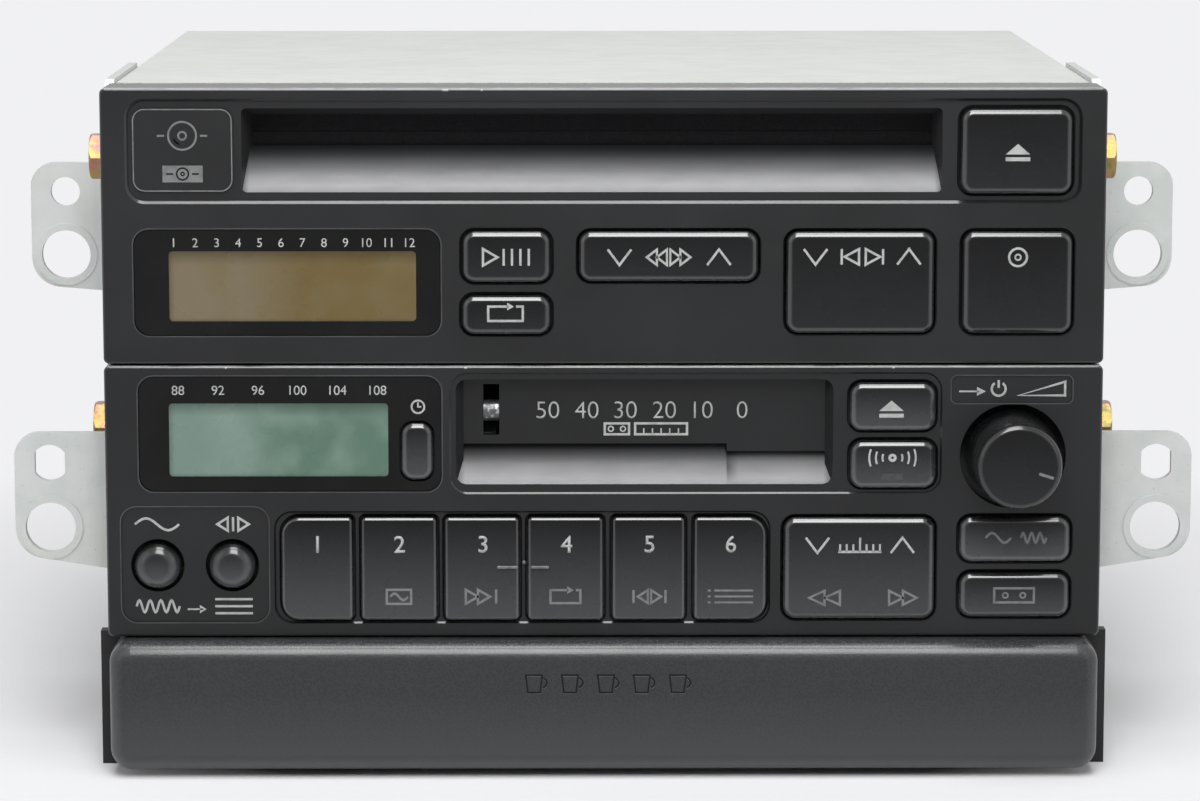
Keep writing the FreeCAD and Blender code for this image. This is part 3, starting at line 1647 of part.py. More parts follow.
for x, y in carrier_pins:
    half = size.carrier_tab / 2
    low_corner = (x - half, y - half, size.carrier_low)
    carrier_tabs.append(block(carrier_name, low_corner, (x + half, y + half, size.carrier_low + wall)))
    start = (x, y, size.carrier_low - wall)
    hole_radius = size.carrier_pin_radius + size.running_fit
    carrier_holes.append(rod(carrier_name, start, hole_radius, 3 * wall))
carrier_case = cut(carrier_name, carrier_shell, carrier_room, carrier_floor, head_window)
carrier = cut(carrier_name, fused(carrier_name, carrier_case, *carrier_tabs), *carrier_holes)
sub_part(carrier, carrier_name, z=receiver_z)

reel_low = plate_top + size.touch_gap
for name, y in zip(("front_reel_spindle", "rear_reel_spindle"), reel_places):
    hub_low = reel_low + size.reel_disc_thick
    reel_parts = [
        rod(name, (size.reel_x, y, bearing_low), size.reel_shaft_radius, size.reel_top - bearing_low),
        rod(name, (size.reel_x, y, reel_low), size.reel_disc_radius, size.reel_disc_thick),
        rod(name, (size.reel_x, y, hub_low), size.reel_hub_radius, size.reel_top - hub_low),
    ]
    reach = size.reel_hub_radius + size.reel_fin_reach
    half = size.reel_fin_wide / 2
    fins = [
        block(name, (size.reel_x - reach, y - half, hub_low), (size.reel_x + reach, y + half, size.reel_top)),
        block(name, (size.reel_x - half, y - reach, hub_low), (size.reel_x + half, y + reach, size.reel_top)),
    ]
    sub_part(fused(name, *reel_parts, *fins), name, z=receiver_z)

flywheel_name = "capstan_flywheel"
flywheel = fused(
    flywheel_name,
    rod(
        flywheel_name,
        (size.capstan_x, size.capstan_y, size.flywheel_low),
        size.flywheel_radius,
        size.flywheel_thick,
    ),
    rod(
        flywheel_name,
        (size.capstan_x, size.capstan_y, size.flywheel_low),
        size.capstan_radius,
        size.capstan_top - size.flywheel_low,
    ),
)
sub_part(flywheel, flywheel_name, z=receiver_z)

pulley_name = "motor_pulley"
pulley_spot = (size.tape_motor_x, size.tape_motor_y, size.flywheel_low)
shaft_rise = plate_top + size.motor_shaft_grip - size.touch_gap - size.flywheel_low
pulley = fused(
    pulley_name,
    rod(pulley_name, pulley_spot, size.pulley_radius, size.flywheel_thick),
    rod(pulley_name, pulley_spot, size.motor_shaft_radius, shaft_rise),
)
sub_part(pulley, pulley_name, z=receiver_z)


# Drive belt: a flat rubber loop round the pulley and the flywheel.
def loop_face(first, first_radius, last, last_radius):
    """The face inside a belt line round two circles."""
    along = last - first
    lean = math.acos((first_radius - last_radius) / along.Length)
    heading = math.atan2(along.y, along.x)
    sides = []
    for side in (1, -1):
        angle = heading + side * lean
        out = Vector(math.cos(angle), math.sin(angle), 0)
        sides.append((first + out * first_radius, last + out * last_radius))
    straight = along.normalize()
    near = first - straight * first_radius
    far = last + straight * last_radius
    edges = [
        Part.LineSegment(sides[0][0], sides[0][1]).toShape(),
        Part.Arc(sides[0][1], far, sides[1][1]).toShape(),
        Part.LineSegment(sides[1][1], sides[1][0]).toShape(),
        Part.Arc(sides[1][0], near, sides[0][0]).toShape(),
    ]
    return Part.Face(Part.Wire(edges))


belt_low = size.flywheel_low + (size.flywheel_thick - size.belt_high) / 2
pulley_centre = Vector(size.tape_motor_x.number, size.tape_motor_y.number, 0)
flywheel_centre = Vector(size.capstan_x.number, size.capstan_y.number, 0)
belt_faces = []
for spare in (size.touch_gap, size.touch_gap + size.belt_thick):
    pulley_line = (size.pulley_radius + spare).number
    flywheel_line = (size.flywheel_radius + spare).number
    belt_faces.append(loop_face(pulley_centre, pulley_line, flywheel_centre, flywheel_line))
belt = doc.addObject("Part::Feature", "belt_loop")
belt.Shape = belt_faces[1].cut(belt_faces[0]).extrude(Vector(0, 0, size.belt_high.number))
sub_part(belt, "drive_belt", z=receiver_z + belt_low)

# Head plate: it slides towards the cassette with the tape head and the pin of the pinch roller.
head_name = "head_plate"
head_low = plate_top + size.touch_gap
head_top = head_low + size.head_plate_thick
head_face = size.cassette_x + size.cassette_half + size.head_stand_off
pinch_stand_off = size.pinch_radius + size.head_travel + size.touch_gap
pinch_x = size.capstan_x + size.capstan_radius + pinch_stand_off
pinch_low = head_top + size.touch_gap
head_left = pinch_x - size.head_stand_off
head_slide = fused(
    head_name,
    block(
        head_name,
        (head_left, size.head_plate_front, head_low),
        (head_left + size.head_plate_wide, size.head_plate_front + size.head_plate_long, head_top),
    ),
    block(
        head_name,
        (head_face, size.head_y - size.head_wide / 2, head_low),
        (head_face + size.head_deep, size.head_y + size.head_wide / 2, head_top + size.head_high),
    ),
    rod(
        head_name,
        (pinch_x, size.capstan_y, head_low),
        size.pinch_pin_radius,
        pinch_low + size.pinch_high - head_low,
    ),
)
sub_part(head_slide, head_name, z=receiver_z)
pinch_name = "pinch_roller"
pinch_spot = (pinch_x, size.capstan_y, pinch_low)
pinch_bore = size.pinch_pin_radius + size.running_fit
pinch = cut(
    pinch_name,
    rod(pinch_name, pinch_spot, size.pinch_radius, size.pinch_high),
    rod(pinch_name, pinch_spot, pinch_bore, size.pinch_high),
)
sub_part(pinch, pinch_name, z=receiver_z)

leg_holes = []
for x, y in leg_places:
    start = (x, y, chassis_floor)
    leg_holes.append(
        rod("receiver_main_board", start, size.tape_leg_radius + size.touch_gap, size.tape_plate_z)
    )
main_board(
    "receiver_main_board",
    ZERO,
    size.tape_board_half,
    size.tape_board_front,
    size.tape_board_long,
    receiver_z,
    leg_holes,
)

# Back of the decks: a finned heat sink and the sockets.
sink_name = "heat_sink"
sink_right = size.heat_sink_left + size.heat_sink_wide
sink_top = size.heat_sink_low + size.heat_sink_high
sink_back = size.deck_depth + size.heat_sink_depth
sink_parts = [
    block(
        sink_name,
        (size.heat_sink_left, size.deck_depth, size.heat_sink_low),
        (sink_right, size.deck_depth + size.heat_sink_base, sink_top),
    )
]
fin_count = int((size.heat_sink_wide.number - size.fin_thick.number) / size.fin_pitch.number) + 1
for k in range(fin_count):
    left = size.heat_sink_left + k * size.fin_pitch
    low_corner = (left, size.deck_depth, size.heat_sink_low)
    sink_parts.append(block(sink_name, low_corner, (left + size.fin_thick, sink_back, sink_top)))
sub_part(fused(sink_name, *sink_parts), sink_name, z=receiver_z)

sockets_name = "rear_sockets"
socket_start = back_inside - size.socket_inside
socket_end = size.deck_depth + size.socket_deep


def box_socket(x, low, wide, high):
    """An open connector shell that passes through the back wall."""
    thick = size.socket_wall
    shell = block(sockets_name, (x - wide / 2, socket_start, low), (x + wide / 2, socket_end, low + high))
    room = block(
        sockets_name,
        (x - wide / 2 + thick, socket_start + thick, low + thick),
        (x + wide / 2 - thick, socket_end + thick, low + high - thick),
    )
    return cut(sockets_name, shell, room)


aerial_start = (size.aerial_x, socket_start, size.aerial_z)
aerial_end = size.deck_depth + size.aerial_long
aerial_bore_long = aerial_end - back_inside
aerial_tube = cut(
    sockets_name,
    rod(sockets_name, aerial_start, aerial_outer, aerial_end - socket_start, "y"),
    rod(
        sockets_name,
        (size.aerial_x, back_inside, size.aerial_z),
        size.aerial_bore,
        aerial_bore_long + size.touch_gap,
        "y",
    ),
)
power_socket = box_socket(size.socket_x, size.socket_low, size.socket_wide, size.socket_high)
link_low = size.deck_pitch + size.link_low
link_socket = box_socket(size.link_x, link_low, size.link_wide, size.link_high)
sub_part(group(sockets_name, aerial_tube, power_socket, link_socket), sockets_name, z=receiver_z)

# Cup holder: a housing with a front frame, and a drawer with two cup wells.
housing_name = "cup_housing"
housing_half = size.bracket_inner - size.housing_gap
inner_half = housing_half - size.housing_wall
housing_ceiling = size.housing_top - size.housing_roof
housing = cut(
    housing_name,
    fused(
        housing_name,
        block(
            housing_name,
            (-housing_half, size.frame_front, ZERO),
            (housing_half, size.housing_back, size.housing_top),
        ),
        block(
            housing_name,
            (-size.frame_width / 2, size.frame_front, ZERO),
            (size.frame_width / 2, size.frame_front + size.frame_thick, size.frame_high),
        ),
    ),
    block(
        housing_name,
        (-inner_half, ZERO, size.housing_wall),
        (inner_half, size.housing_back - size.housing_wall, housing_ceiling),
    ),
    *[
        rod(housing_name, (-housing_half - size.sheet, y, size.cup_bolt_z), thread, 2 * size.frame_width, "x")
        for y in (size.cup_bolt_y, size.cup_bolt_back_y)
    ],
)
sub_part(housing, housing_name)

drawer = new_body("cup_drawer")
front_back = size.frame_front - size.drawer_gap
front_middle = size.drawer_front_low + size.drawer_front_high / 2
front_face = -size.drawer_stand_out
drawer_back = size.drawer_travel + size.drawer_hold
plate = sketch_on(drawer, "XZ", front_face)
rounded(plate, ZERO, front_middle, size.drawer_front_width, size.drawer_front_high, size.drawer_corner)
pad(drawer, plate, front_back - front_face)
eased(drawer, "Fillet", size.drawer_edge, edge_at_y(front_face))
drawer_half = inner_half - size.drawer_gap
drawer_low = size.housing_wall + size.touch_gap
tray_sketch = sketch_on(drawer, "XY", drawer_low)
tray_start = front_back - size.drawer_wall
rectangle(tray_sketch, -drawer_half, tray_start, 2 * drawer_half, drawer_back - tray_start)
pad(drawer, tray_sketch, size.drawer_top - drawer_low, plane="XY")
under = sketch_on(drawer, "XY", drawer_low - size.touch_gap)
under_wide = drawer_half - size.drawer_wall
rectangle(under, -under_wide, front_back, 2 * under_wide, drawer_back - size.drawer_wall - front_back)
pocket(drawer, under, size.drawer_top - size.drawer_wall - drawer_low + size.touch_gap, plane="XY")
cups = sketch_on(drawer, "XY", drawer_low)
for side in (-1, 1):
    circle(cups, side * size.cup_x, size.cup_y, size.cup_radius + size.cup_wall)
pad(drawer, cups, size.drawer_top - size.drawer_wall / 2 - drawer_low, plane="XY")
wells = sketch_on(drawer, "XY", drawer_low + size.cup_wall)
for side in (-1, 1):
    circle(wells, side * size.cup_x, size.cup_y, size.cup_radius)
pocket(drawer, wells, size.drawer_top, plane="XY")
sub_part(drawer, "cup_drawer")


# Side brackets: steel plates with two ears bent outwards, for the holes of the dashboard.
def corner_edge(x, z):
    """Chooses the edge that runs back at this corner."""
    return lambda edge: all(
        abs(vertex.Point.x - x.number) < 1e-6 and abs(vertex.Point.z - z.number) < 1e-6
        for vertex in edge.Vertexes
    )


def flatted_hole(sketch, x, z, half_wide, radius):
    """A round hole with two upright flats."""
    rise = math.sqrt(radius.number ** 2 - half_wide.number ** 2)
    turn = math.atan2(rise, half_wide.number)
    middle = Vector(x.number, z.number, 0)
    ring = Part.Circle(middle, Vector(0, 0, 1), radius.number)
    right_low = middle + Vector(half_wide.number, -rise, 0)
    right_top = middle + Vector(half_wide.number, rise, 0)
    left_top = middle + Vector(-half_wide.number, rise, 0)
    left_low = middle + Vector(-half_wide.number, -rise, 0)
    sides = [
        Part.LineSegment(right_low, right_top),
        Part.ArcOfCircle(ring, turn, math.pi - turn),
        Part.LineSegment(left_top, left_low),
        Part.ArcOfCircle(ring, math.pi + turn, 2 * math.pi - turn),
    ]
    first = sketch.GeometryCount
    sketch.addGeometry(sides, False)
    joints = [(0, 2, 1, 1), (1, 2, 2, 1), (2, 2, 3, 1), (3, 2, 0, 1), (1, 3, 3, 3)]
    for one, its_end, other, other_end in joints:
        sketch.addConstraint(
            Sketcher.Constraint("Coincident", first + one, its_end, first + other, other_end)
        )
    for flat in (0, 2):
        sketch.addConstraint(Sketcher.Constraint("Vertical", first + flat))
    tie(sketch, Sketcher.Constraint("Radius", first + 1, radius.number), radius)
    tie_signed(sketch, "DistanceX", first + 1, 3, x)
    tie_signed(sketch, "DistanceY", first + 1, 3, z)
    tie_signed(sketch, "DistanceX", first, 1, x + half_wide)
    tie_signed(sketch, "DistanceX", first + 2, 1, x - half_wide)


def side_bracket(name, side):
    body = new_body(name)
    thick = size.bracket_sheet
    start = size.bracket_inner if side > 0 else -size.bracket_inner - thick
    outline = sketch_on(body, "YZ", start)
    corner = size.ear_corner
    polygon(
        outline,
        [
            (size.bracket_front, size.bracket_foot),
            (size.bracket_foot_end, size.bracket_foot),
            (size.bracket_foot_end, size.bracket_foot_top),
            (size.bracket_back, size.bracket_foot_top + corner),
            (size.bracket_back, size.bracket_shoulder),
            (size.bracket_top_end, size.bracket_shoulder),
            (size.bracket_top_end - corner, size.bracket_top),
            (size.bracket_front + corner, size.bracket_top),
            (size.bracket_front, size.bracket_top - corner),
        ],
    )
    pad(body, outline, thick, plane="YZ")
    lance = sketch_on(body, "YZ", start - thick)
    ear_back = size.upper_ear_y + thick
    rectangle(
        lance,
        ear_back,
        size.upper_ear_low + corner / 2,
        size.lance_depth,
        size.upper_ear_high - corner,
    )
    pocket(body, lance, 3 * thick, plane="YZ")
    bolt_holes = sketch_on(body, "YZ", start - thick)
    hole_radius = size.bolt_radius + size.bolt_hole_gap
    for y in (size.bolt_front_y, size.bolt_back_y):
        for base in (receiver_z, disc_z):
            circle(bolt_holes, y, base + size.bolt_z, hole_radius)
    for y in (size.cup_bolt_y, size.cup_bolt_back_y):
        circle(bolt_holes, y, size.cup_bolt_z, hole_radius)
    pocket(body, bolt_holes, 3 * thick, plane="YZ")
    for deck, y in (("upper", size.upper_ear_y), ("lower", size.bracket_front)):
        low = getattr(size, deck + "_ear_low")
        top = low + getattr(size, deck + "_ear_high")
        outer_low = low + getattr(size, deck + "_ear_slope")
        hole_z = getattr(size, deck + "_big_hole_z")
        root = side * (size.bracket_inner + thick / 2)
        end = side * size.ear_reach
        tongue = sketch_on(body, "XZ", y)
        polygon(tongue, [(root, low), (end, outer_low), (end, top), (root, top)])
        pad(body, tongue, thick)
        eased(body, "Fillet", corner, corner_edge(end, top))
        eased(body, "Fillet", size.ear_foot_corner, corner_edge(end, outer_low))
        ring = sketch_on(body, "XZ", y - size.ear_ring_rise)
        circle(ring, side * size.ear_hole_x, hole_z, size.ear_ring_radius)
        pad(body, ring, size.ear_ring_rise + thick / 2)
        hole = sketch_on(body, "XZ", y - thick)
        circle(hole, side * size.ear_hole_x, hole_z, size.big_hole_radius)
        pocket(body, hole, 3 * thick)
    hole_x = side * size.ear_hole_x
    round_hole = sketch_on(body, "XZ", size.upper_ear_y - thick)
    circle(round_hole, hole_x, size.upper_big_hole_z + size.ear_hole_spacing, size.small_hole_radius)
    pocket(body, round_hole, 3 * thick)
    long_hole = sketch_on(body, "XZ", size.bracket_front - thick)
    long_z = size.lower_big_hole_z + size.ear_hole_spacing
    flatted_hole(long_hole, hole_x, long_z, size.small_hole_radius, size.long_hole_radius)
    pocket(body, long_hole, 3 * thick)
    sub_part(body, name)


side_bracket("left_bracket", -1)
side_bracket("right_bracket", 1)

# Bracket bolts: hexagon heads with a washer, all alike.
bolts_name = "bracket_bolts"
bolt_spots = [(y, size.cup_bolt_z) for y in (size.cup_bolt_y, size.cup_bolt_back_y)]
for y in (size.bolt_front_y, size.bolt_back_y):
    bolt_spots += [(y, receiver_z + size.bolt_z), (y, disc_z + size.bolt_z)]
bolts = []
bracket_outer = size.bracket_inner + size.bracket_sheet
head_circle = size.bolt_head_flats / math.sqrt(3)
head_turn = TURNS["x"] * FreeCAD.Rotation(Vector(0, 0, 1), 90)
for side in (-1, 1):
    for y, z in bolt_spots:
        shank_start = bracket_outer - size.bolt_length
        washer_end = bracket_outer + size.bolt_washer_thick
        head_end = washer_end + size.bolt_head_thick
        starts = [shank_start, bracket_outer, washer_end]
        ends = [bracket_outer, washer_end, head_end]
        if side < 0:
            starts, ends = [-end for end in ends], [-start for start in starts]
        shank = rod(bolts_name, (starts[0], y, z), size.bolt_radius, ends[0] - starts[0], "x")
        washer = rod(bolts_name, (starts[1], y, z), size.bolt_washer_radius, ends[1] - starts[1], "x")
        prism = doc.addObject("Part::Prism", fresh(bolts_name))
        prism.Polygon = 6
        prism.Placement = FreeCAD.Placement(Vector(), head_turn)
        bind(prism, "Circumradius", head_circle)
        bind(prism, "Height", ends[2] - starts[2])
        place(prism, starts[2], y, z)
        crown = doc.addObject("Part::Sphere", fresh(bolts_name))
        bind(crown, "Radius", size.bolt_crown_radius)
        place(crown, side * (head_end - size.bolt_crown_depth), y, z)
        head = doc.addObject("Part::MultiCommon", fresh(bolts_name))
        head.Shapes = [prism, crown]
        bolts.append(fused(bolts_name, shank, washer, head))
sub_part(group(bolts_name, *bolts), bolts_name)

doc.recompute()
broken = [made.Name for made in doc.Objects if "Invalid" in made.State or "Error" in made.State]
if broken:
    raise SystemExit(f"features that failed: {broken}")
for made in doc.Objects:
    if made.TypeId == "PartDesign::Pocket" and made.Shape.Volume >= made.BaseFeature.Shape.Volume:
        raise SystemExit(f"{made.Name} cuts nothing")
for made in sub_parts:
    shape = made.Shape
    if shape.isNull() or not shape.isValid():
        raise SystemExit(f"{made.Label} has no valid shape")
    shape.exportStep(f"parts/{made.Label}.step")
    print(f"{made.Label:24s} {shape.Volume:10.1f} mm3  {len(shape.Solids)} solids")
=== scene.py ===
import math

import bmesh
import bpy
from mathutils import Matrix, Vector


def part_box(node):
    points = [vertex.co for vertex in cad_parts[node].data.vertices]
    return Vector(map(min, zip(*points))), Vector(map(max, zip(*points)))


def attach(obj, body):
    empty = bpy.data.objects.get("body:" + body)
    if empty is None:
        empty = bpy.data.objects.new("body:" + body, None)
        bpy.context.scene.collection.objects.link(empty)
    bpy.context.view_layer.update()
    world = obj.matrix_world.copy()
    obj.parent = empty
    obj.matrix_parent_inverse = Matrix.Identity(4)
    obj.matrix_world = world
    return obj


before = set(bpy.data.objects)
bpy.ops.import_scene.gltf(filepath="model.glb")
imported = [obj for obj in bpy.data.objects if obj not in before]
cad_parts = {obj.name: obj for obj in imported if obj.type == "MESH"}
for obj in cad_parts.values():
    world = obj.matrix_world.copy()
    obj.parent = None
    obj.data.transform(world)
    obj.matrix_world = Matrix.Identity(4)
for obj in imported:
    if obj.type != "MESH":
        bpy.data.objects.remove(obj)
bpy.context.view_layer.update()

# The view: a long lens in front of the stereo, a little above it and turned by a hair to the right.
# It looks down on the front edge of the top cover.
MM = 0.001
CAMERA_PLACE = (-4.99 * MM, -851.2 * MM, 184.4 * MM)
CAMERA_DOWN = 0.1493
CAMERA_RIGHT = 0.0056
CAMERA_LENS = 129.5
CAMERA_SENSOR = 36.0
NEAREST_SEEN = 0.05

camera = bpy.data.objects.new("view_camera", bpy.data.cameras.new("view_camera"))
camera.location = CAMERA_PLACE
camera.rotation_euler = (math.pi / 2 - CAMERA_DOWN, 0, -CAMERA_RIGHT)
camera.data.sensor_width = CAMERA_SENSOR
camera.data.lens = CAMERA_LENS
camera.data.clip_start = NEAREST_SEEN
bpy.context.collection.objects.link(camera)
bpy.context.scene.camera = camera
bpy.context.scene.view_settings.view_transform = "Standard"


# The studio: a wide pale floor under a pale sky, soft lamps in front and overhead, weaker ones at the sides.
# The sky is as bright as a white sheet to the lens and to gloss, and gives less light to dull surfaces.
def shade(code):
    """The linear colour of a hex code."""
    parts = [int(code[start:start + 2], 16) / 255 for start in (0, 2, 4)]
    return (*[part / 12.92 if part < 0.04 else ((part + 0.055) / 1.055) ** 2.4 for part in parts], 1.0)


SKY_SEEN = shade("f1f1f3")
SKY_FILL = 0.22
SOFT_BOXES = {
    "lamp_front": {"place": (0.0, -0.66, 0.69), "size": (0.36, 0.58), "power": 6.1},
    "lamp_over": {"place": (0.0, -0.22, 0.91), "size": (0.36, 0.3), "power": 2.6},
    "lamp_left": {"place": (-0.95, -0.75, 0.55), "size": (0.5, 0.8), "power": 0.7},
    "lamp_right": {"place": (0.95, -0.75, 0.55), "size": (0.5, 0.8), "power": 0.7},
}
LAMP_AIM = Vector((0.0, -0.02, 0.07))


def brighter(nodes, links, first, second):
    """The larger of two sockets."""
    made = nodes.new("ShaderNodeMath")
    made.operation = "MAXIMUM"
    links.new(first, made.inputs[0])
    links.new(second, made.inputs[1])
    return made.outputs[0]


def seen_directly(nodes, links):
    """1 for what the lens, gloss or glass sees, and 0 for the light that falls on dull surfaces."""
    rays = nodes.new("ShaderNodeLightPath").outputs
    mirrored = brighter(nodes, links, rays["Is Glossy Ray"], rays["Is Transmission Ray"])
    return brighter(nodes, links, rays["Is Camera Ray"], mirrored)


sky = bpy.data.worlds.new("studio_sky")
bpy.context.scene.world = sky
sky.use_nodes = True
sky_nodes = sky.node_tree.nodes
sky_links = sky.node_tree.links
fill = sky_nodes["Background"]
fill.inputs["Color"].default_value = SKY_SEEN
fill.inputs["Strength"].default_value = SKY_FILL
seen = sky_nodes.new("ShaderNodeBackground")
seen.inputs["Color"].default_value = SKY_SEEN
sky_mix = sky_nodes.new("ShaderNodeMixShader")
sky_links.new(seen_directly(sky_nodes, sky_links), sky_mix.inputs[0])
sky_links.new(fill.outputs[0], sky_mix.inputs[1])
sky_links.new(seen.outputs[0], sky_mix.inputs[2])
sky_links.new(sky_mix.outputs[0], sky_nodes["World Output"].inputs["Surface"])

for name, box in SOFT_BOXES.items():
    lamp = bpy.data.lights.new(name, "AREA")
    lamp.shape = "RECTANGLE"
    lamp.size, lamp.size_y = box["size"]
    lamp.energy = box["power"]
    holder = bpy.data.objects.new(name, lamp)
    holder.location = box["place"]
    holder.rotation_euler = (LAMP_AIM - holder.location).to_track_quat("-Z", "Y").to_euler()
    holder.visible_camera = False
    bpy.context.collection.objects.link(holder)


class Finish:
    """A material built up in coats: a base, then its mottling, grain, wear and painted light and shade, all
    on Object coordinates.
    """

    COAT_ROUGHNESS = 0.14
    COAT_IOR = 1.7

    def __init__(self, name, colour, roughness, metallic=0.0, specular=0.5):
        self.material = bpy.data.materials.new(name)
        self.material.use_nodes = True
        self.nodes = self.material.node_tree.nodes
        self.links = self.material.node_tree.links
        self.shader = self.nodes["Principled BSDF"]
        self.shader.inputs["Base Color"].default_value = shade(colour)
        self.shader.inputs["Roughness"].default_value = roughness
        self.shader.inputs["Metallic"].default_value = metallic
        self.shader.inputs["Specular IOR Level"].default_value = specular
        self.shader.inputs["Coat Roughness"].default_value = self.COAT_ROUGHNESS
        self.shader.inputs["Coat IOR"].default_value = self.COAT_IOR
        coordinates = self.nodes.new("ShaderNodeTexCoord").outputs
        self.place = coordinates["Object"]
        self.facing = coordinates["Normal"]

    def noise(self, size, detail=3.0, stretch=(1, 1, 1)):
        """Cloudy noise with cells of this size in millimetres."""
        turn = self.nodes.new("ShaderNodeMapping")
        turn.inputs["Scale"].default_value = stretch
        self.links.new(self.place, turn.inputs["Vector"])
        made = self.nodes.new("ShaderNodeTexNoise")
        made.inputs["Scale"].default_value = 1 / (size * MM)
        made.inputs["Detail"].default_value = detail
        self.links.new(turn.outputs[0], made.inputs["Vector"])
        return made.outputs["Fac"]

    def cells(self, size):
        """Pebbles of this size in millimetres."""
        made = self.nodes.new("ShaderNodeTexVoronoi")
        made.inputs["Scale"].default_value = 1 / (size * MM)
        self.links.new(self.place, made.inputs["Vector"])
        return made.outputs["Distance"]

    def ramp(self, source, start, end, low=0.0, high=1.0):
        """The source from start to end spread over low to high."""
        made = self.nodes.new("ShaderNodeMapRange")
        made.inputs["From Min"].default_value = start
        made.inputs["From Max"].default_value = end
        made.inputs["To Min"].default_value = low
        made.inputs["To Max"].default_value = high
        self.links.new(source, made.inputs["Value"])
        return made.outputs["Result"]

    def axis(self, source, name):
        """The X, Y or Z of a place or a direction."""
        split = self.nodes.new("ShaderNodeSeparateXYZ")
        self.links.new(source, split.inputs[0])
        return split.outputs[name]

    def along(self, name, start, end):
        """A mask that rises from 0 to 1 between two places in millimetres on the X, Y or Z axis."""
        return self.ramp(self.axis(self.place, name), start * MM, end * MM)

    def between(self, name, start, end, soft):
        """A mask for what lies between two places on an axis, with edges this soft, all in millimetres."""
        return self.times(self.along(name, start, start + soft), self.along(name, end, end - soft))

    def upward(self, start, end):
        """A mask for the faces that look up, where the highlights are painted."""
        return self.ramp(self.axis(self.facing, "Z"), start, end)

    def polish(self, start, end, weight, dull=None):
        """Gloss on the rims, which turn away from the front and which hands rub, but not where it is dull."""
        front = self.nodes.new("ShaderNodeMath")
        front.operation = "ABSOLUTE"
        self.links.new(self.axis(self.facing, "Y"), front.inputs[0])
        gloss = self.ramp(front.outputs[0], start, end, 0.0, weight)
        if dull:
            gloss = self.times(gloss, self.ramp(dull, 1.0, 0.0))
        self.links.new(gloss, self.shader.inputs["Coat Weight"])

    def times(self, first, second):
        """Two masks multiplied, or one mask weakened by a number."""
        made = self.nodes.new("ShaderNodeMath")
        made.operation = "MULTIPLY"
        self.links.new(first, made.inputs[0])
        if isinstance(second, float):
            made.inputs[1].default_value = second
        else:
            self.links.new(second, made.inputs[1])
        return made.outputs[0]

    def tint(self, colour, mask):
        """Another colour where the mask is 1."""
        base = self.shader.inputs["Base Color"]
        mix = self.nodes.new("ShaderNodeMix")
        mix.data_type = "RGBA"
        if base.is_linked:
            self.links.new(base.links[0].from_socket, mix.inputs["A"])
        else:
            mix.inputs["A"].default_value = base.default_value
        mix.inputs["B"].default_value = shade(colour)
        self.links.new(mask, mix.inputs["Factor"])
        self.links.new(mix.outputs["Result"], base)

    def value(self, socket, source, start, end, low, high):
        """Roughness or Metallic that follows the source."""
        self.links.new(self.ramp(source, start, end, low, high), self.shader.inputs[socket])

    def grain(self, source, height):
        """Relief of this height in millimetres."""
        normal = self.shader.inputs["Normal"]
        bump = self.nodes.new("ShaderNodeBump")
        bump.inputs["Distance"].default_value = height * MM
        if normal.is_linked:
            self.links.new(normal.links[0].from_socket, bump.inputs["Normal"])
        self.links.new(source, bump.inputs["Height"])
        self.links.new(bump.outputs[0], normal)

    def on(self, *nodes):
        """Paints these CAD nodes."""
        for node in nodes:
            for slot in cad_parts[node].material_slots:
                slot.material = self.material


# Floor: a smooth pale sheet that the stereo stands on, a hair below its base.
# It is lit round the stereo, and further off, where the lamps don't reach, it is as bright as the sky.
FLOOR_RADIUS = 7.0
FLOOR_DROP = 0.05 * MM
FLOOR_NEAR = 0.1
FLOOR_FAR = 0.29
floor_finish = Finish("pale_floor", "f4f4f6", 0.85, specular=0.1)
floor_finish.tint("eeeef1", floor_finish.ramp(floor_finish.noise(400.0), 0.4, 0.7))
floor_finish.grain(floor_finish.noise(1.5), 0.05)
away = floor_finish.nodes.new("ShaderNodeVectorMath")
away.operation = "LENGTH"
floor_finish.links.new(floor_finish.place, away.inputs[0])
far = floor_finish.ramp(away.outputs["Value"], FLOOR_NEAR, FLOOR_FAR)
horizon = floor_finish.nodes.new("ShaderNodeEmission")
horizon.inputs["Color"].default_value = SKY_SEEN
floor_mix = floor_finish.nodes.new("ShaderNodeMixShader")
bright = floor_finish.times(far, seen_directly(floor_finish.nodes, floor_finish.links))
floor_finish.links.new(bright, floor_mix.inputs[0])
floor_finish.links.new(floor_finish.shader.outputs[0], floor_mix.inputs[1])
floor_finish.links.new(horizon.outputs[0], floor_mix.inputs[2])
floor_finish.links.new(floor_mix.outputs[0], floor_finish.nodes["Material Output"].inputs["Surface"])
floor_shape = bmesh.new()
bmesh.ops.create_circle(floor_shape, cap_ends=True, segments=96, radius=FLOOR_RADIUS)
bmesh.ops.translate(floor_shape, verts=floor_shape.verts, vec=(0, 0, -FLOOR_DROP))
floor_mesh = bpy.data.meshes.new("floor")
floor_shape.to_mesh(floor_mesh)
floor_shape.free()
floor_mesh.materials.append(floor_finish.material)
floor = bpy.data.objects.new("floor", floor_mesh)
bpy.context.collection.objects.link(floor)


# Side brackets: pressed from galvanised sheet, with ears bent outwards that carry the mounting holes.
# The zinc is dull and a little cloudy, with warmer patches of old grease and a few dark specks.
galvanised = Finish("galvanised_steel", "c8cbc9", 0.45, metallic=0.45)
galvanised.tint("c1c5c2", galvanised.ramp(galvanised.noise(7.0, 5.0), 0.42, 0.62))
galvanised.tint("cbc5b8", galvanised.times(galvanised.ramp(galvanised.noise(24.0), 0.5, 0.75), 0.3))
galvanised.tint("8f8f8a", galvanised.times(galvanised.ramp(galvanised.noise(0.5, 2.0), 0.68, 0.74), 0.4))
galvanised.value("Roughness", galvanised.noise(3.0, 4.0), 0.3, 0.7, 0.4, 0.55)
galvanised.grain(galvanised.noise(0.35, 2.0), 0.005)
galvanised.on("left_bracket", "right_bracket")

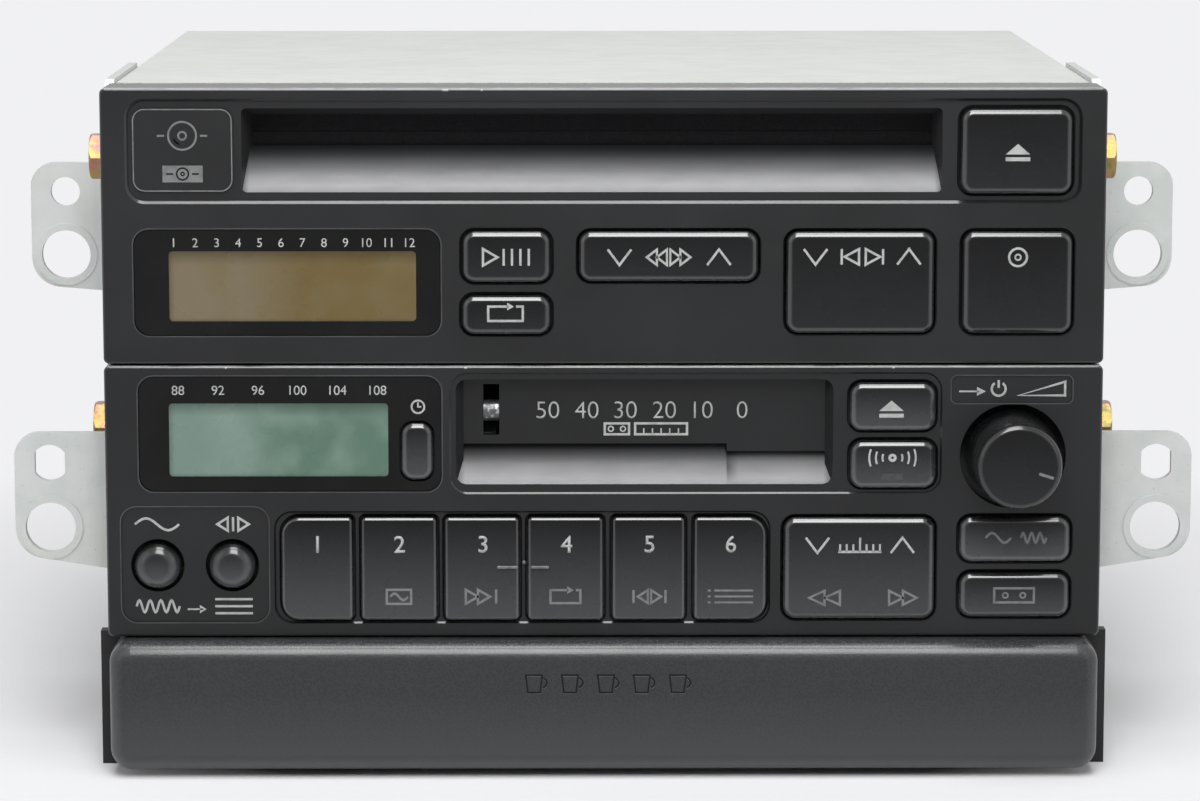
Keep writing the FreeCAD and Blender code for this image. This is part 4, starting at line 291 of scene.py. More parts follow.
# Bracket bolts: hexagon heads with washers, zinc plated and yellow passivated.
# The thin film shows gold, pink and olive patches.
yellow_zinc = Finish("yellow_zinc", "a08a52", 0.34, metallic=0.85)
yellow_zinc.tint("a8706c", yellow_zinc.ramp(yellow_zinc.noise(3.4, 2.0), 0.45, 0.62))
yellow_zinc.tint("77784a", yellow_zinc.ramp(yellow_zinc.noise(2.6, 2.0), 0.54, 0.7))
yellow_zinc.value("Roughness", yellow_zinc.noise(0.8), 0.3, 0.7, 0.26, 0.44)
yellow_zinc.grain(yellow_zinc.noise(0.25, 2.0), 0.01)
yellow_zinc.on("bracket_bolts")

# Cup holder housing: a shallow moulded box below the decks, in plain matt plastic.
# It hangs between the brackets by four of their bolts.
housing_plastic = Finish("housing_plastic", "1b1b1c", 0.55, specular=0.35)
housing_plastic.tint("242425", housing_plastic.ramp(housing_plastic.noise(20.0), 0.4, 0.7))
housing_plastic.value("Roughness", housing_plastic.noise(5.0), 0.3, 0.7, 0.48, 0.66)
housing_plastic.grain(housing_plastic.noise(0.3, 2.0), 0.01)
housing_plastic.on("cup_housing")


# Cup holder drawer: its front is moulded with a fine leather grain and paler towards the bottom as painted
# light.
# A painted highlight runs along its top edge.
# A row of sunk cups is drawn on it as thin strokes of painted shade, each with a pale painted highlight below
# it.
class Marks:
    """Signs on a face that looks to the front: strokes, filled outlines and figures, as thin as a print."""

    THICK = 0.03
    MITRE_LIMIT = 0.5
    ARC_STEP = 12
    LEAST_STEPS = 6
    CORNER_STEPS = 6
    WAVE_STEPS = 12

    def __init__(self, name, face, stroke=0.42):
        self.name = name
        self.face = face
        self.stroke = stroke
        self.middle = Vector((0, 0))
        self.shape = bmesh.new()

    def at(self, x, z):
        """The next signs are drawn round this place."""
        self.middle = Vector((x, z))
        return self

    def corner(self, place):
        """A point on the face, in millimetres from the middle."""
        x, z = self.middle + Vector(place)
        return self.shape.verts.new((x * MM, self.face * MM, z * MM))

    def fill(self, places):
        """A filled outline, with its corners in order."""
        self.shape.faces.new([self.corner(place) for place in places])

    def line(self, places, closed=False, stroke=None):
        """A stroke of even width with mitred corners."""
        half = (stroke or self.stroke) / 2
        places = [Vector(place) for place in places]
        last = len(places) - 1
        pairs = []
        for number, place in enumerate(places):
            ways = []
            if closed or number:
                ways.append((place - places[number - 1]).normalized())
            if closed or number < last:
                ways.append((places[(number + 1) % len(places)] - place).normalized())
            way = sum(ways, Vector((0, 0))).normalized()
            side = Vector((-way.y, way.x)) * half / max(way.dot(ways[0]), self.MITRE_LIMIT)
            pairs.append((self.corner(place + side), self.corner(place - side)))
        if closed:
            pairs.append(pairs[0])
        for before, after in zip(pairs, pairs[1:]):
            self.shape.faces.new((before[0], after[0], after[1], before[1]))

    def arc(self, x, z, radius, start=0.0, end=360.0, stroke=None):
        """A stroke round a centre, between two angles in degrees: a short edge spun round."""
        half = (stroke or self.stroke) / 2
        turn = math.radians(start)
        way = Vector((math.cos(turn), math.sin(turn)))
        ends = [self.corner(Vector((x, z)) + way * (radius + side)) for side in (-half, half)]
        edge = self.shape.edges.new(ends)
        centre = self.middle + Vector((x, z))
        bmesh.ops.spin(
            self.shape,
            geom=[*ends, edge],
            cent=(centre.x * MM, self.face * MM, centre.y * MM),
            axis=(0, -1, 0),
            angle=math.radians(end - start),
            steps=max(self.LEAST_STEPS, int((end - start) / self.ARC_STEP)),
            use_merge=end - start >= 360,
        )

    def box(self, x, z, wide, high):
        """A stroke along a rectangle."""
        right, top = wide / 2, high / 2
        ring = [(x - right, z - top), (x + right, z - top), (x + right, z + top), (x - right, z + top)]
        self.line(ring, closed=True)

    def triangle(self, x, z, wide, high):
        """A triangle that points to the right, or to the left where it is less than 0 wide."""
        half = wide / 2
        self.line([(x - half, z - high / 2), (x + half, z), (x - half, z + high / 2)], closed=True)

    def head(self, x, z, wide, high):
        """A small filled arrow head that points to the right."""
        self.fill([(x - wide / 2, z - high / 2), (x + wide / 2, z), (x - wide / 2, z + high / 2)])

    def chevron(self, x, z, wide, high):
        """An open arrow head that points up, or down where it is less than 0 high."""
        self.line([(x - wide / 2, z - high / 2), (x, z + high / 2), (x + wide / 2, z - high / 2)])

    def frame(self, x, z, wide, high, corner):
        """A stroke along a rectangle with round corners."""
        places = []
        for quarter, (side, up) in enumerate(((1, 1), (-1, 1), (-1, -1), (1, -1))):
            centre = Vector((x + side * (wide / 2 - corner), z + up * (high / 2 - corner)))
            for step in range(self.CORNER_STEPS + 1):
                turn = math.radians(90 * quarter + 90 / self.CORNER_STEPS * step)
                places.append(centre + Vector((math.cos(turn), math.sin(turn))) * corner)
        self.line(places, closed=True)

    def waves(self, x, z, wide, high, count):
        """A sine line with this many waves."""
        steps = count * self.WAVE_STEPS
        places = []
        for step in range(steps + 1):
            part = step / steps
            places.append((x + wide * (part - 0.5), z + high / 2 * math.sin(math.tau * count * part)))
        self.line(places)

    def figure(self, text, x, z, high, weight=0.0):
        """A number, as high as given, with its strokes made thicker by the weight."""
        letters = bpy.data.curves.new(self.name, "FONT")
        letters.body = text
        letters.offset = weight
        holder = bpy.data.objects.new(self.name, letters)
        flat = bpy.data.meshes.new_from_object(holder)
        bpy.data.objects.remove(holder)
        before = set(self.shape.verts)
        self.shape.from_mesh(flat)
        bpy.data.meshes.remove(flat)
        added = [vert for vert in self.shape.verts if vert not in before]
        low = Vector([min(vert.co[axis] for vert in added) for axis in range(2)])
        top = Vector([max(vert.co[axis] for vert in added) for axis in range(2)])
        scale = high / (top.y - low.y)
        for vert in added:
            place = self.middle + Vector((x, z)) + (vert.co.xy - (low + top) / 2) * scale
            vert.co = (place.x * MM, self.face * MM, place.y * MM)

    def done(self, finish, body="stack"):
        """Gives the signs their thickness and hands them to a body."""
        raised = bmesh.ops.extrude_face_region(self.shape, geom=self.shape.faces[:])["geom"]
        verts = [item for item in raised if isinstance(item, bmesh.types.BMVert)]
        bmesh.ops.translate(self.shape, verts=verts, vec=(0, -self.THICK * MM, 0))
        piece(self.name, self.shape, finish, body)


def piece(name, shape, finish, body="stack"):
    """A mesh object from this shape, in this finish, that moves with this body."""
    bmesh.ops.recalc_face_normals(shape, faces=shape.faces)
    mesh = bpy.data.meshes.new(name)
    shape.to_mesh(mesh)
    shape.free()
    mesh.materials.append(finish.material)
    made = bpy.data.objects.new(name, mesh)
    bpy.context.collection.objects.link(made)
    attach(made, body)
    return made


DRAWER_FACE = -87.0
CUP_ROW = (0.36, 17.64)
CUP_STEP = 6.5
CUP_SIDE = [(-1.5, 1.6), (-1.1, -1.6), (1.1, -1.6), (1.5, 1.6)]
grained_plastic = Finish("grained_plastic", "202122", 0.46, specular=0.4)
leather = grained_plastic.cells(0.42)
grained_plastic.tint("2a2b2c", grained_plastic.ramp(leather, 0.25, 0.6))
# Paler towards the bottom: painted light.
grained_plastic.tint("3a3b3c", grained_plastic.along("Z", 16.0, 3.0))
# A painted highlight along the rounded top edge, speckled by the grain.
drawer_top_highlight = grained_plastic.upward(0.3, 0.9)
grained_plastic.tint("5c5e60", grained_plastic.times(drawer_top_highlight, grained_plastic.ramp(leather, 0.45, 0.15)))
grained_plastic.polish(0.99, 0.87, 0.35)
grained_plastic.value("Roughness", grained_plastic.noise(9.0), 0.3, 0.7, 0.4, 0.52)
grained_plastic.grain(leather, 0.03)
grained_plastic.grain(grained_plastic.noise(0.2, 2.0), 0.006)
grained_plastic.on("cup_drawer")

painted_shade_and_black_ink = Finish("painted_shade_and_black_ink", "0c0c0d", 0.7, specular=0.2)
painted_shade_and_black_ink.tint("161617", painted_shade_and_black_ink.ramp(painted_shade_and_black_ink.noise(1.2), 0.4, 0.7))
groove_highlight = Finish("groove_highlight", "4a4b4c", 0.5, specular=0.4)
groove_highlight.tint("3a3b3c", groove_highlight.ramp(groove_highlight.noise(1.6), 0.4, 0.7))
# Each cup is a dark stroke of painted shade for its groove, over a pale stroke of painted highlight a little
# lower.
for name, finish, face, drop in (
    ("cup_row_highlight", groove_highlight, DRAWER_FACE, 0.16),
    ("cup_row_shade", painted_shade_and_black_ink, DRAWER_FACE - 0.01, 0.0),
):
    cups = Marks(name, face, stroke=0.3).at(CUP_ROW[0], CUP_ROW[1] - drop)
    for number in range(-2, 3):
        middle = CUP_STEP * number
        cups.line([(middle + x, z) for x, z in CUP_SIDE], closed=True)
        cups.arc(middle + 1.4, 0.2, 0.9, -75, 75)
    cups.done(finish, "cup_drawer")

# Receiver and disc deck cases: folded trays with flat covers, in a paler and smoother zinc than the brackets.
# They are screwed to the brackets on both sides.
case_zinc = Finish("case_zinc", "d3d5d0", 0.42, metallic=0.45)
case_zinc.tint("cdd0cb", case_zinc.ramp(case_zinc.noise(9.0, 5.0), 0.42, 0.62))
case_zinc.tint("c4c3bb", case_zinc.times(case_zinc.ramp(case_zinc.noise(40.0), 0.5, 0.75), 0.3))
case_zinc.value("Roughness", case_zinc.noise(3.0, 4.0), 0.3, 0.7, 0.38, 0.5)
case_zinc.grain(case_zinc.noise(0.35, 2.0), 0.003)
case_zinc.on("receiver_chassis", "receiver_top_cover", "cd_chassis", "cd_top_cover")

# Tape mechanism: a pressed plate that carries the spindles, the capstan's flywheel and the motor.
# The cassette drops into the carrier and the head plate slides against the tape.
galvanised.on("tape_mech_plate", "cassette_carrier")
turned_steel = Finish("turned_steel", "a7a9aa", 0.28, metallic=0.95)
turned_steel.tint("8b8d8f", turned_steel.ramp(turned_steel.noise(2.0), 0.4, 0.7))
turned_steel.value("Roughness", turned_steel.noise(0.6, 2.0, (1, 1, 8)), 0.3, 0.7, 0.2, 0.36)
turned_steel.on("head_plate", "capstan_flywheel", "volume_shaft", "bass_shaft", "balance_shaft")

mechanism_plastic = Finish("mechanism_plastic", "1f1f21", 0.5, specular=0.4)
mechanism_plastic.tint("29292b", mechanism_plastic.ramp(mechanism_plastic.noise(6.0), 0.4, 0.7))
mechanism_plastic.grain(mechanism_plastic.noise(0.4, 2.0), 0.01)
mechanism_plastic.on("front_reel_spindle", "rear_reel_spindle", "motor_pulley", "disc_turntable")

roller_rubber = Finish("roller_rubber", "151515", 0.75, specular=0.3)
roller_rubber.tint("222120", roller_rubber.ramp(roller_rubber.noise(1.5), 0.4, 0.7))
roller_rubber.grain(roller_rubber.noise(0.2, 2.0), 0.01)
roller_rubber.on("drive_belt", "pinch_roller", "load_roller")

# Boards, heat sink and rear sockets: the boards are green laminate with a solder mask, fixed on posts.
# The sink is a drawn aluminium profile, and the sockets are black mouldings in the back walls.
circuit_board = Finish("circuit_board", "2f5a34", 0.4, specular=0.5)
circuit_board.tint("27492c", circuit_board.ramp(circuit_board.noise(3.0), 0.45, 0.6))
circuit_board.tint("3d7040", circuit_board.ramp(circuit_board.cells(2.4), 0.1, 0.25))
circuit_board.grain(circuit_board.cells(2.4), 0.02)
circuit_board.on("receiver_main_board", "cd_main_board", "receiver_key_board", "cd_key_board")

sink_aluminium = Finish("sink_aluminium", "b8babc", 0.4, metallic=0.85)
sink_aluminium.tint("a4a6a8", sink_aluminium.ramp(sink_aluminium.noise(1.2, 2.0, (1, 1, 0.1)), 0.4, 0.7))
sink_aluminium.grain(sink_aluminium.noise(0.5, 2.0, (1, 1, 0.1)), 0.01)
sink_aluminium.on("heat_sink")

socket_plastic = Finish("socket_plastic", "29292b", 0.45, specular=0.45)
socket_plastic.tint("343436", socket_plastic.ramp(socket_plastic.noise(8.0), 0.4, 0.7))
socket_plastic.grain(socket_plastic.noise(0.4, 2.0), 0.01)
socket_plastic.on("rear_sockets")

# Disc mechanism: a frame pressed from the same sheet as the brackets, with a clamp arm over the turntable.
# The optical pickup is cast in a dull grey metal and slides on the frame's guide rods.
pickup_metal = Finish("pickup_metal", "7c7e80", 0.38, metallic=0.8)
pickup_metal.tint("6a6c6e", pickup_metal.ramp(pickup_metal.noise(3.0), 0.4, 0.7))
pickup_metal.grain(pickup_metal.noise(0.4, 2.0), 0.01)
pickup_metal.on("optical_pickup")
galvanised.on("disc_mech_frame", "clamp_arm")


# Front panels: moulded in satin black plastic with a fine even texture, with a painted highlight and a few
# pale chips along the top edges.
# They sit on the fronts of the trays, on posts at their backs.
# The ramp below each opening is worn smoother towards its low edge by what slides in over it, and made pale
# there by a painted highlight.
PANEL_FACE = -82.0


def panel_finish(name, top, ramp, opening, ramp_highlight_colour, low_edge_highlight):
    """Satin black, with painted highlights along the top and on the ramp, whose low edge keeps a share of
    that.
    """
    low, high = ramp
    made = Finish(name, "0f1011", 0.4, specular=0.36)
    made.tint("18191b", made.ramp(made.noise(30.0), 0.4, 0.7))

    # The pale ramp tint is a painted highlight, brightest a little above the ramp's low edge and fading
    # upwards.
    deep = made.along("Y", PANEL_FACE + 0.5, PANEL_FACE + 1.2)
    fade = made.along("Z", high, low + 1.0)
    slope = made.times(made.along("Z", low - 0.5, low), made.times(fade, fade))
    ends = made.between("X", *opening, 1.6)
    ramp_highlight = made.times(made.times(deep, slope), made.times(ends, made.upward(0.1, 0.3)))
    low_edge_share = made.ramp(made.axis(made.place, "Z"), low * MM, (low + 2.6) * MM, low_edge_highlight, 1.0)
    highlight_mottle = made.ramp(made.noise(2.6, 4.0, (0.3, 1, 1)), 0.25, 0.6, 0.85, 1.0)
    made.tint(ramp_highlight_colour, made.times(made.times(ramp_highlight, low_edge_share), highlight_mottle))

    # A painted highlight along the top edge of the face, broken here and there.
    front_rim = made.along("Y", PANEL_FACE + 1.6, PANEL_FACE + 0.6)
    edge = made.times(made.along("Z", top - 0.25, top - 0.1), front_rim)
    made.tint("9a9b9b", made.times(edge, made.ramp(made.noise(9.0, 5.0), 0.2, 0.5)))
    face_rim = made.along("Y", PANEL_FACE + 0.6, PANEL_FACE + 0.4)
    corner = made.times(made.along("Z", top - 0.6, top - 0.4), face_rim)
    chips = made.ramp(made.noise(2.2, 1.0, (1, 0.2, 0.2)), 0.75, 0.77)
    made.tint("8c8a84", made.times(corner, chips))

    made.polish(0.995, 0.93, 0.5, made.times(deep, made.along("Z", top - 0.1, top - 0.3)))
    satin = made.ramp(made.noise(6.0), 0.3, 0.7, 0.34, 0.46)
    dull = made.times(deep, made.along("Z", low + 1.2, high - 0.4))
    made.links.new(brighter(made.nodes, made.links, satin, dull), made.shader.inputs["Roughness"])
    made.grain(made.noise(0.22, 2.0), 0.006)
    return made


disc_plastic = panel_finish(
    "disc_plastic", top=125.0, ramp=(106.3, 114.0), opening=(-65.2, 61.0), ramp_highlight_colour="b4b4b6", low_edge_highlight=0.5
)
disc_plastic.on("cd_front_panel")
receiver_plastic = panel_finish(
    "receiver_plastic", top=75.0, ramp=(53.3, 60.3), opening=(-26.7, 41.4), ramp_highlight_colour="8c8c8e", low_edge_highlight=0.9
)

# The notch in the tape door leaves a shade on the ramp, beside its upright side.
NOTCH = 22.4
beside_notch = receiver_plastic.times(
    receiver_plastic.along("X", NOTCH - 0.2, NOTCH), receiver_plastic.along("X", NOTCH + 2.0, NOTCH + 0.2)
)
on_ramp = receiver_plastic.times(
    receiver_plastic.along("Y", PANEL_FACE + 0.8, PANEL_FACE + 1.1), receiver_plastic.along("Z", 53.0, 56.0)
)
receiver_plastic.tint("1c1c1d", receiver_plastic.times(beside_notch, on_ramp))
receiver_plastic.on("receiver_front_panel")

# The signs are printed in white ink, and the duller ones in grey.
white_ink = Finish("white_ink", "adaeac", 0.6, specular=0.3)
white_ink.tint("9d9e9c", white_ink.ramp(white_ink.noise(1.5), 0.45, 0.65))
grey_ink = Finish("grey_ink", "767877", 0.6, specular=0.3)
grey_ink.tint("686a69", grey_ink.ramp(grey_ink.noise(1.5), 0.45, 0.65))

# Plate outlines: painted highlights, thin pale lines where the rims of the sunk sign plates and of the
# windows catch the light.
# The rims are moulded with the panels.
rim_highlight = Finish("rim_highlight", "424344", 0.4, specular=0.4)
rim_highlight.tint("303132", rim_highlight.ramp(rim_highlight.noise(6.0), 0.4, 0.7))
rim_highlights = Marks("plate_rim_highlights", PANEL_FACE, stroke=0.2)
rim_highlights.frame(-74.0, 38.65, 26.9, 21.4, 2.9)
rim_highlights.frame(73.6, 70.65, 22.0, 5.2, 1.1)
rim_highlights.frame(-56.8, 90.1, 55.3, 19.5, 2.9)
rim_highlights.frame(-56.6, 62.6, 54.9, 21.3, 2.9)
rim_highlights.done(rim_highlight)

PLATE_FACE = PANEL_FACE + 0.4
LEFT_KNOB_X = -80.85
RIGHT_KNOB_X = -67.1
ABOVE_KNOBS = 46.05
BELOW_KNOBS = 30.94
knob_signs = Marks("knob_plate_signs", PLATE_FACE)
knob_signs.at(LEFT_KNOB_X, ABOVE_KNOBS).waves(0, 0, 8.0, 2.2, 1)
knob_signs.at(LEFT_KNOB_X, BELOW_KNOBS).waves(0, 0, 7.8, 2.2, 4)
knob_signs.at(RIGHT_KNOB_X, ABOVE_KNOBS).line([(0, -1.3), (0, 1.3)])
for side in (-1, 1):
    knob_signs.triangle(side * 1.9, 0, side * 1.9, 2.4)
knob_signs.at(RIGHT_KNOB_X, BELOW_KNOBS)
for level in (-1.3, 0.0, 1.3):
    knob_signs.line([(-3.4, level), (3.4, level)])
knob_signs.at(-73.9, 30.4).line([(-1.6, 0), (1.2, 0)], stroke=0.3)
knob_signs.head(1.2, 0, 1.2, 1.5)
knob_signs.done(white_ink)

power_signs = Marks("power_plate_signs", PLATE_FACE)
power_signs.at(66.5, 70.25).line([(-2.4, 0), (1.2, 0)], stroke=0.3)
power_signs.head(1.6, 0, 1.6, 1.6)
power_signs.at(71.2, 70.7).arc(0, 0, 1.25, 125, 415)
power_signs.line([(0, 0.2), (0, 1.6)])
power_signs.at(79.0, 70.7).line([(-4.2, -1.2), (4.2, -1.2), (4.2, 1.3)], closed=True)
power_signs.done(white_ink)

# Tape door: a black flap hinged along its top edge, printed with a tape scale.
# A small steel roller sits in the slot on its left and guides the cassette.
door_plastic = Finish("door_plastic", "0e0f10", 0.42, specular=0.33)
door_plastic.tint("151617", door_plastic.ramp(door_plastic.noise(30.0), 0.4, 0.7))
door_plastic.value("Roughness", door_plastic.noise(6.0), 0.3, 0.7, 0.36, 0.48)
door_plastic.grain(door_plastic.noise(0.22, 2.0), 0.006)
SLOT_SIDES = (-21.78, -18.92)
ROLLER_ENDS = (64.0, 68.4)
on_roller = door_plastic.times(
    door_plastic.between("X", *SLOT_SIDES, 0.04), door_plastic.between("Z", *ROLLER_ENDS, 0.1)
)
door_plastic.tint("5e5f60", on_roller)
roller_scuffs = door_plastic.ramp(door_plastic.noise(0.7, 4.0), 0.5, 0.65)
door_plastic.tint("b0b1b2", door_plastic.times(on_roller, roller_scuffs))
door_plastic.value("Metallic", on_roller, 0.0, 1.0, 0.0, 0.9)
door_plastic.on("tape_door")

DOOR_FACE = PANEL_FACE + 3.5
door_signs = Marks("tape_door_signs", DOOR_FACE).at(7.48, 66.46)
for number in range(6):
    door_signs.figure(str(50 - 10 * number), -17.6 + 7.04 * number, 0, 3.1, -0.01)
door_signs.at(2.4, 62.98).box(0, 0, 4.4, 2.0)
for side in (-1, 1):
    door_signs.arc(side * 1.1, 0, 0.45, stroke=0.25)
door_signs.at(10.4, 62.98).box(0, 0, 9.4, 2.0)
for number in range(1, 6):
    door_signs.line([(-4.7 + 1.57 * number, -0.9), (-4.7 + 1.57 * number, 0.1)], stroke=0.25)
door_signs.done(white_ink, "tape_door")

# Keys and knobs: the same black, polished smoother by fingers, and greyer towards the lower edge as a painted
# reflection.
# Each key is snapped into its hole from behind and carries its sign in white or grey ink.
KEY_FACE = PANEL_FACE - 1.2
PUSH_KEYS = ["cd_eject_key", "cd_scan_key", "cd_repeat_key", "cd_fast_key", "cd_track_key", "cd_source_key"]
PUSH_KEYS += ["window_key", "tape_eject_key", "info_key", "tune_key", "band_key", "tape_key"]
PUSH_KEYS += [f"preset_key_{number}" for number in range(1, 7)]
LOWER_REFLECTIONS = {"volume_knob": "242526", "band_key": "4c4d4f", "bass_knob": "484a4c", "balance_knob": "484a4c"}
DISC_KEYS_REFLECTION = "202122"
RECEIVER_KEYS_REFLECTION = "434446"
for key in [*PUSH_KEYS, "volume_knob", "bass_knob", "balance_knob"]:
    key_low, key_high = [corner.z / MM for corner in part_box(key)]
    key_plastic = Finish(f"{key}_plastic", "070708", 0.26, specular=0.2)
    key_plastic.tint("0d0e0f", key_plastic.ramp(key_plastic.noise(14.0), 0.4, 0.7))
    # The greyer lower part of each key and knob is a painted reflection of the pale floor.
    lower_reflection = key_plastic.along("Z", key_high - 1.0, key_low + 1.0)
    usual_reflection = DISC_KEYS_REFLECTION if "cd_" in key else RECEIVER_KEYS_REFLECTION
    key_plastic.tint(LOWER_REFLECTIONS.get(key, usual_reflection), lower_reflection)
    key_plastic.value("Roughness", key_plastic.noise(5.0), 0.3, 0.7, 0.22, 0.34)
    key_plastic.grain(key_plastic.noise(0.25, 2.0), 0.003)
    key_plastic.polish(0.997, 0.94, 0.6 if "knob" in key else 1.0)
    key_plastic.on(key)


def signs_on(key):
    """Signs on the front of this key."""
    return Marks(f"{key}_signs", KEY_FACE)


def eject_sign(signs):
    """A triangle over a bar."""
    signs.fill([(-2.2, -0.3), (2.2, -0.3), (0, 1.6)])
    signs.fill([(-2.2, -1.5), (2.2, -1.5), (2.2, -0.8), (-2.2, -0.8)])


def double_arrow(signs, x, wide, high):
    """Two triangles in a row, to the left where the width is less than 0."""
    for part in (-0.25, 0.25):
        signs.triangle(x + wide * part, 0, wide / 2, high)


def loop_sign(signs, wide, high):
    """A flat ring with an arrow head in its upper side."""
    right, top = wide / 2, high / 2
    signs.line([(0.5, top), (-right, top), (-right, -top), (right, -top), (right, top), (1.9, top)])
    signs.head(0.9, top, 1.2, 1.4)


PRESET_X = [-51.76, -36.94, -21.85, -6.75, 8.26, 23.0]
for number, x in enumerate(PRESET_X, start=1):
    preset = signs_on(f"preset_key_{number}").at(x, 42.6)
    preset.figure(str(number), 0, 0, 3.1, 0.008)
    preset.done(white_ink, f"preset_key_{number}")


# Finger bars: two raised bars and a dot let fingers find the middle of the preset row.
# The bars are moulded on their keys, and the dot on the panel between them.
def plate(name, middle, size, rounding, finish, body="stack", steps=8, every_edge=False):
    """A plate that looks to the front, with round corners, or with every edge rounded."""
    shape = bmesh.new()
    bmesh.ops.create_cube(shape, size=MM)
    bmesh.ops.scale(shape, verts=shape.verts, vec=size)
    bmesh.ops.translate(shape, verts=shape.verts, vec=[place * MM for place in middle])
    rounded = [edge for edge in shape.edges if every_edge or edge.verts[0].co.y != edge.verts[1].co.y]
    bmesh.ops.bevel(
        shape, geom=rounded, offset=rounding * MM, segments=steps, profile=0.5, affect="EDGES", material=-1
    )
    return piece(name, shape, finish, body)


feel_plastic = Finish("feel_plastic", "6a6b6d", 0.35, specular=0.5)
feel_plastic.tint("515254", feel_plastic.ramp(feel_plastic.noise(0.8), 0.4, 0.7))
feel_plastic.grain(feel_plastic.noise(0.2, 2.0), 0.004)
BAR_MIDDLE = (KEY_FACE - 0.1, 38.37)
BAR_SIZE = (0.6, 0.55)
FEEL_BARS = {"preset_key_3": (-17.43, 3.8), "preset_key_4": (-11.55, 3.3)}
for key, (x, wide) in FEEL_BARS.items():
    middle, size = (x, *BAR_MIDDLE), (wide, *BAR_SIZE)
    plate(f"{key}_bar", middle, size, 0.2, feel_plastic, key, steps=3, every_edge=True)
dot = bmesh.new()
bmesh.ops.create_uvsphere(dot, u_segments=24, v_segments=12, radius=0.4 * MM)
bmesh.ops.translate(dot, verts=dot.verts, vec=(-14.46 * MM, (PANEL_FACE + 0.45) * MM, 38.93 * MM))
piece("preset_row_dot", dot, feel_plastic)

# Second signs of the presets, and the signs of the receiver's other keys.
# They are printed on the smooth faces of the keys, the presets' second signs in grey ink.
second_row = {}
for number, x in enumerate([-37.10, -21.80, -6.95, 8.27, 23.04], start=2):
    second_row[number] = Marks(f"preset_key_{number}_mode", KEY_FACE).at(x, 32.95)
second_row[2].box(0, 0, 4.4, 2.6)
second_row[2].waves(0, 0, 3.2, 1.2, 1)
double_arrow(second_row[3], -1.0, 4.4, 2.6)
second_row[3].line([(2.3, -1.3), (2.3, 1.3)])
loop_sign(second_row[4], 5.4, 2.4)
for side in (-1, 1):
    second_row[5].triangle(side * 1.2, 0, side * 1.8, 2.4)
    second_row[5].line([(side * 2.9, -1.2), (side * 2.9, 1.2)])
for level in (-1.1, 0.0, 1.1):
    second_row[6].line([(-3.0, level), (4.0, level)], stroke=0.36)
    second_row[6].line([(-4.2, level), (-3.7, level)], stroke=0.36)
for number, signs in second_row.items():
    signs.done(grey_ink, f"preset_key_{number}")

tune = signs_on("tune_key").at(46.34, 42.34)
tune.line([(-3.9, -1.2), (3.9, -1.2)])
for number in range(7):
    tune.line([(-3.6 + 1.2 * number, -1.2), (-3.6 + 1.2 * number, 1.4 if number == 3 else 0.2)], stroke=0.36)
tune.at(38.65, 42.34).chevron(0, 0, 4.2, -2.8)
tune.at(54.03, 42.34).chevron(0, 0, 4.2, 2.8)
tune.done(white_ink, "tune_key")
winding = Marks("tune_key_winding", KEY_FACE)
double_arrow(winding.at(39.99, 32.68), 0, -5.6, 2.6)
double_arrow(winding.at(54.2, 32.66), 0, 5.0, 2.6)
winding.done(grey_ink, "tune_key")

band = signs_on("band_key").at(74.56, 43.69)
band.waves(-3.2, 0, 4.6, 1.8, 1)
band.waves(3.2, 0, 4.6, 1.8, 3)
band.done(grey_ink, "band_key")
tape = signs_on("tape_key").at(74.35, 33.10)
tape.box(0, 0, 7.2, 2.6)
for side in (-1, 1):
    tape.arc(side * 1.584, 0, 0.468, stroke=0.32)
tape.done(grey_ink, "tape_key")
tape_eject = signs_on("tape_eject_key").at(51.80, 67.22)
eject_sign(tape_eject)
tape_eject.done(white_ink, "tape_eject_key")

info = signs_on("info_key").at(52.06, 58.38)
for side in (-1, 1):
    for radius in (1.8, 3.0, 4.2):
        middle = 90 - side * 90
        info.arc(0, 0, radius, middle - 22, middle + 22, stroke=0.34)
info.arc(0, 0, 0.5, stroke=0.5)
info.done(white_ink, "info_key")

lamp_lens = Finish("lamp_lens", "3c3e40", 0.3, specular=0.5)
lamp_lens.tint("2c2d2e", lamp_lens.ramp(lamp_lens.noise(0.8), 0.4, 0.7))
plate("info_key_lens", (52.1, KEY_FACE, 54.81), (3.8, 0.1, 1.3), 0.2, lamp_lens, "info_key")

# Volume knob: a plain black knob that is pushed onto its shaft, in the same plastic as the keys.
# One pale line on its face shows how far it is turned.
KNOB_FACE = PANEL_FACE - 13.0
KNOB_AXIS = (73.9, 58.5)
POINTER_TURN = math.radians(-18.0)
volume_pointer = Marks("volume_pointer", KNOB_FACE).at(*KNOB_AXIS)
pointer_way = Vector((math.cos(POINTER_TURN), math.sin(POINTER_TURN)))
volume_pointer.line([pointer_way * 3.6, pointer_way * 6.3], stroke=0.5)
volume_pointer.done(grey_ink, "volume_knob")

# Receiver window: a smoked plate glued in over a green display, with a band scale printed above it.
# The display's colours are a thin plate on the window's face, shaded under the upper and left edges.
smoked_window = Finish("smoked_window", "0a0a0b", 0.1, specular=0.18)
smoked_window.tint("121213", smoked_window.ramp(smoked_window.noise(18.0), 0.4, 0.7))
smoked_window.value("Roughness", smoked_window.noise(20.0), 0.3, 0.7, 0.07, 0.14)
smoked_window.on("cd_display_window", "receiver_display_window", "cd_display_glass", "receiver_display_glass")
WINDOW_FACE = PANEL_FACE + 0.3


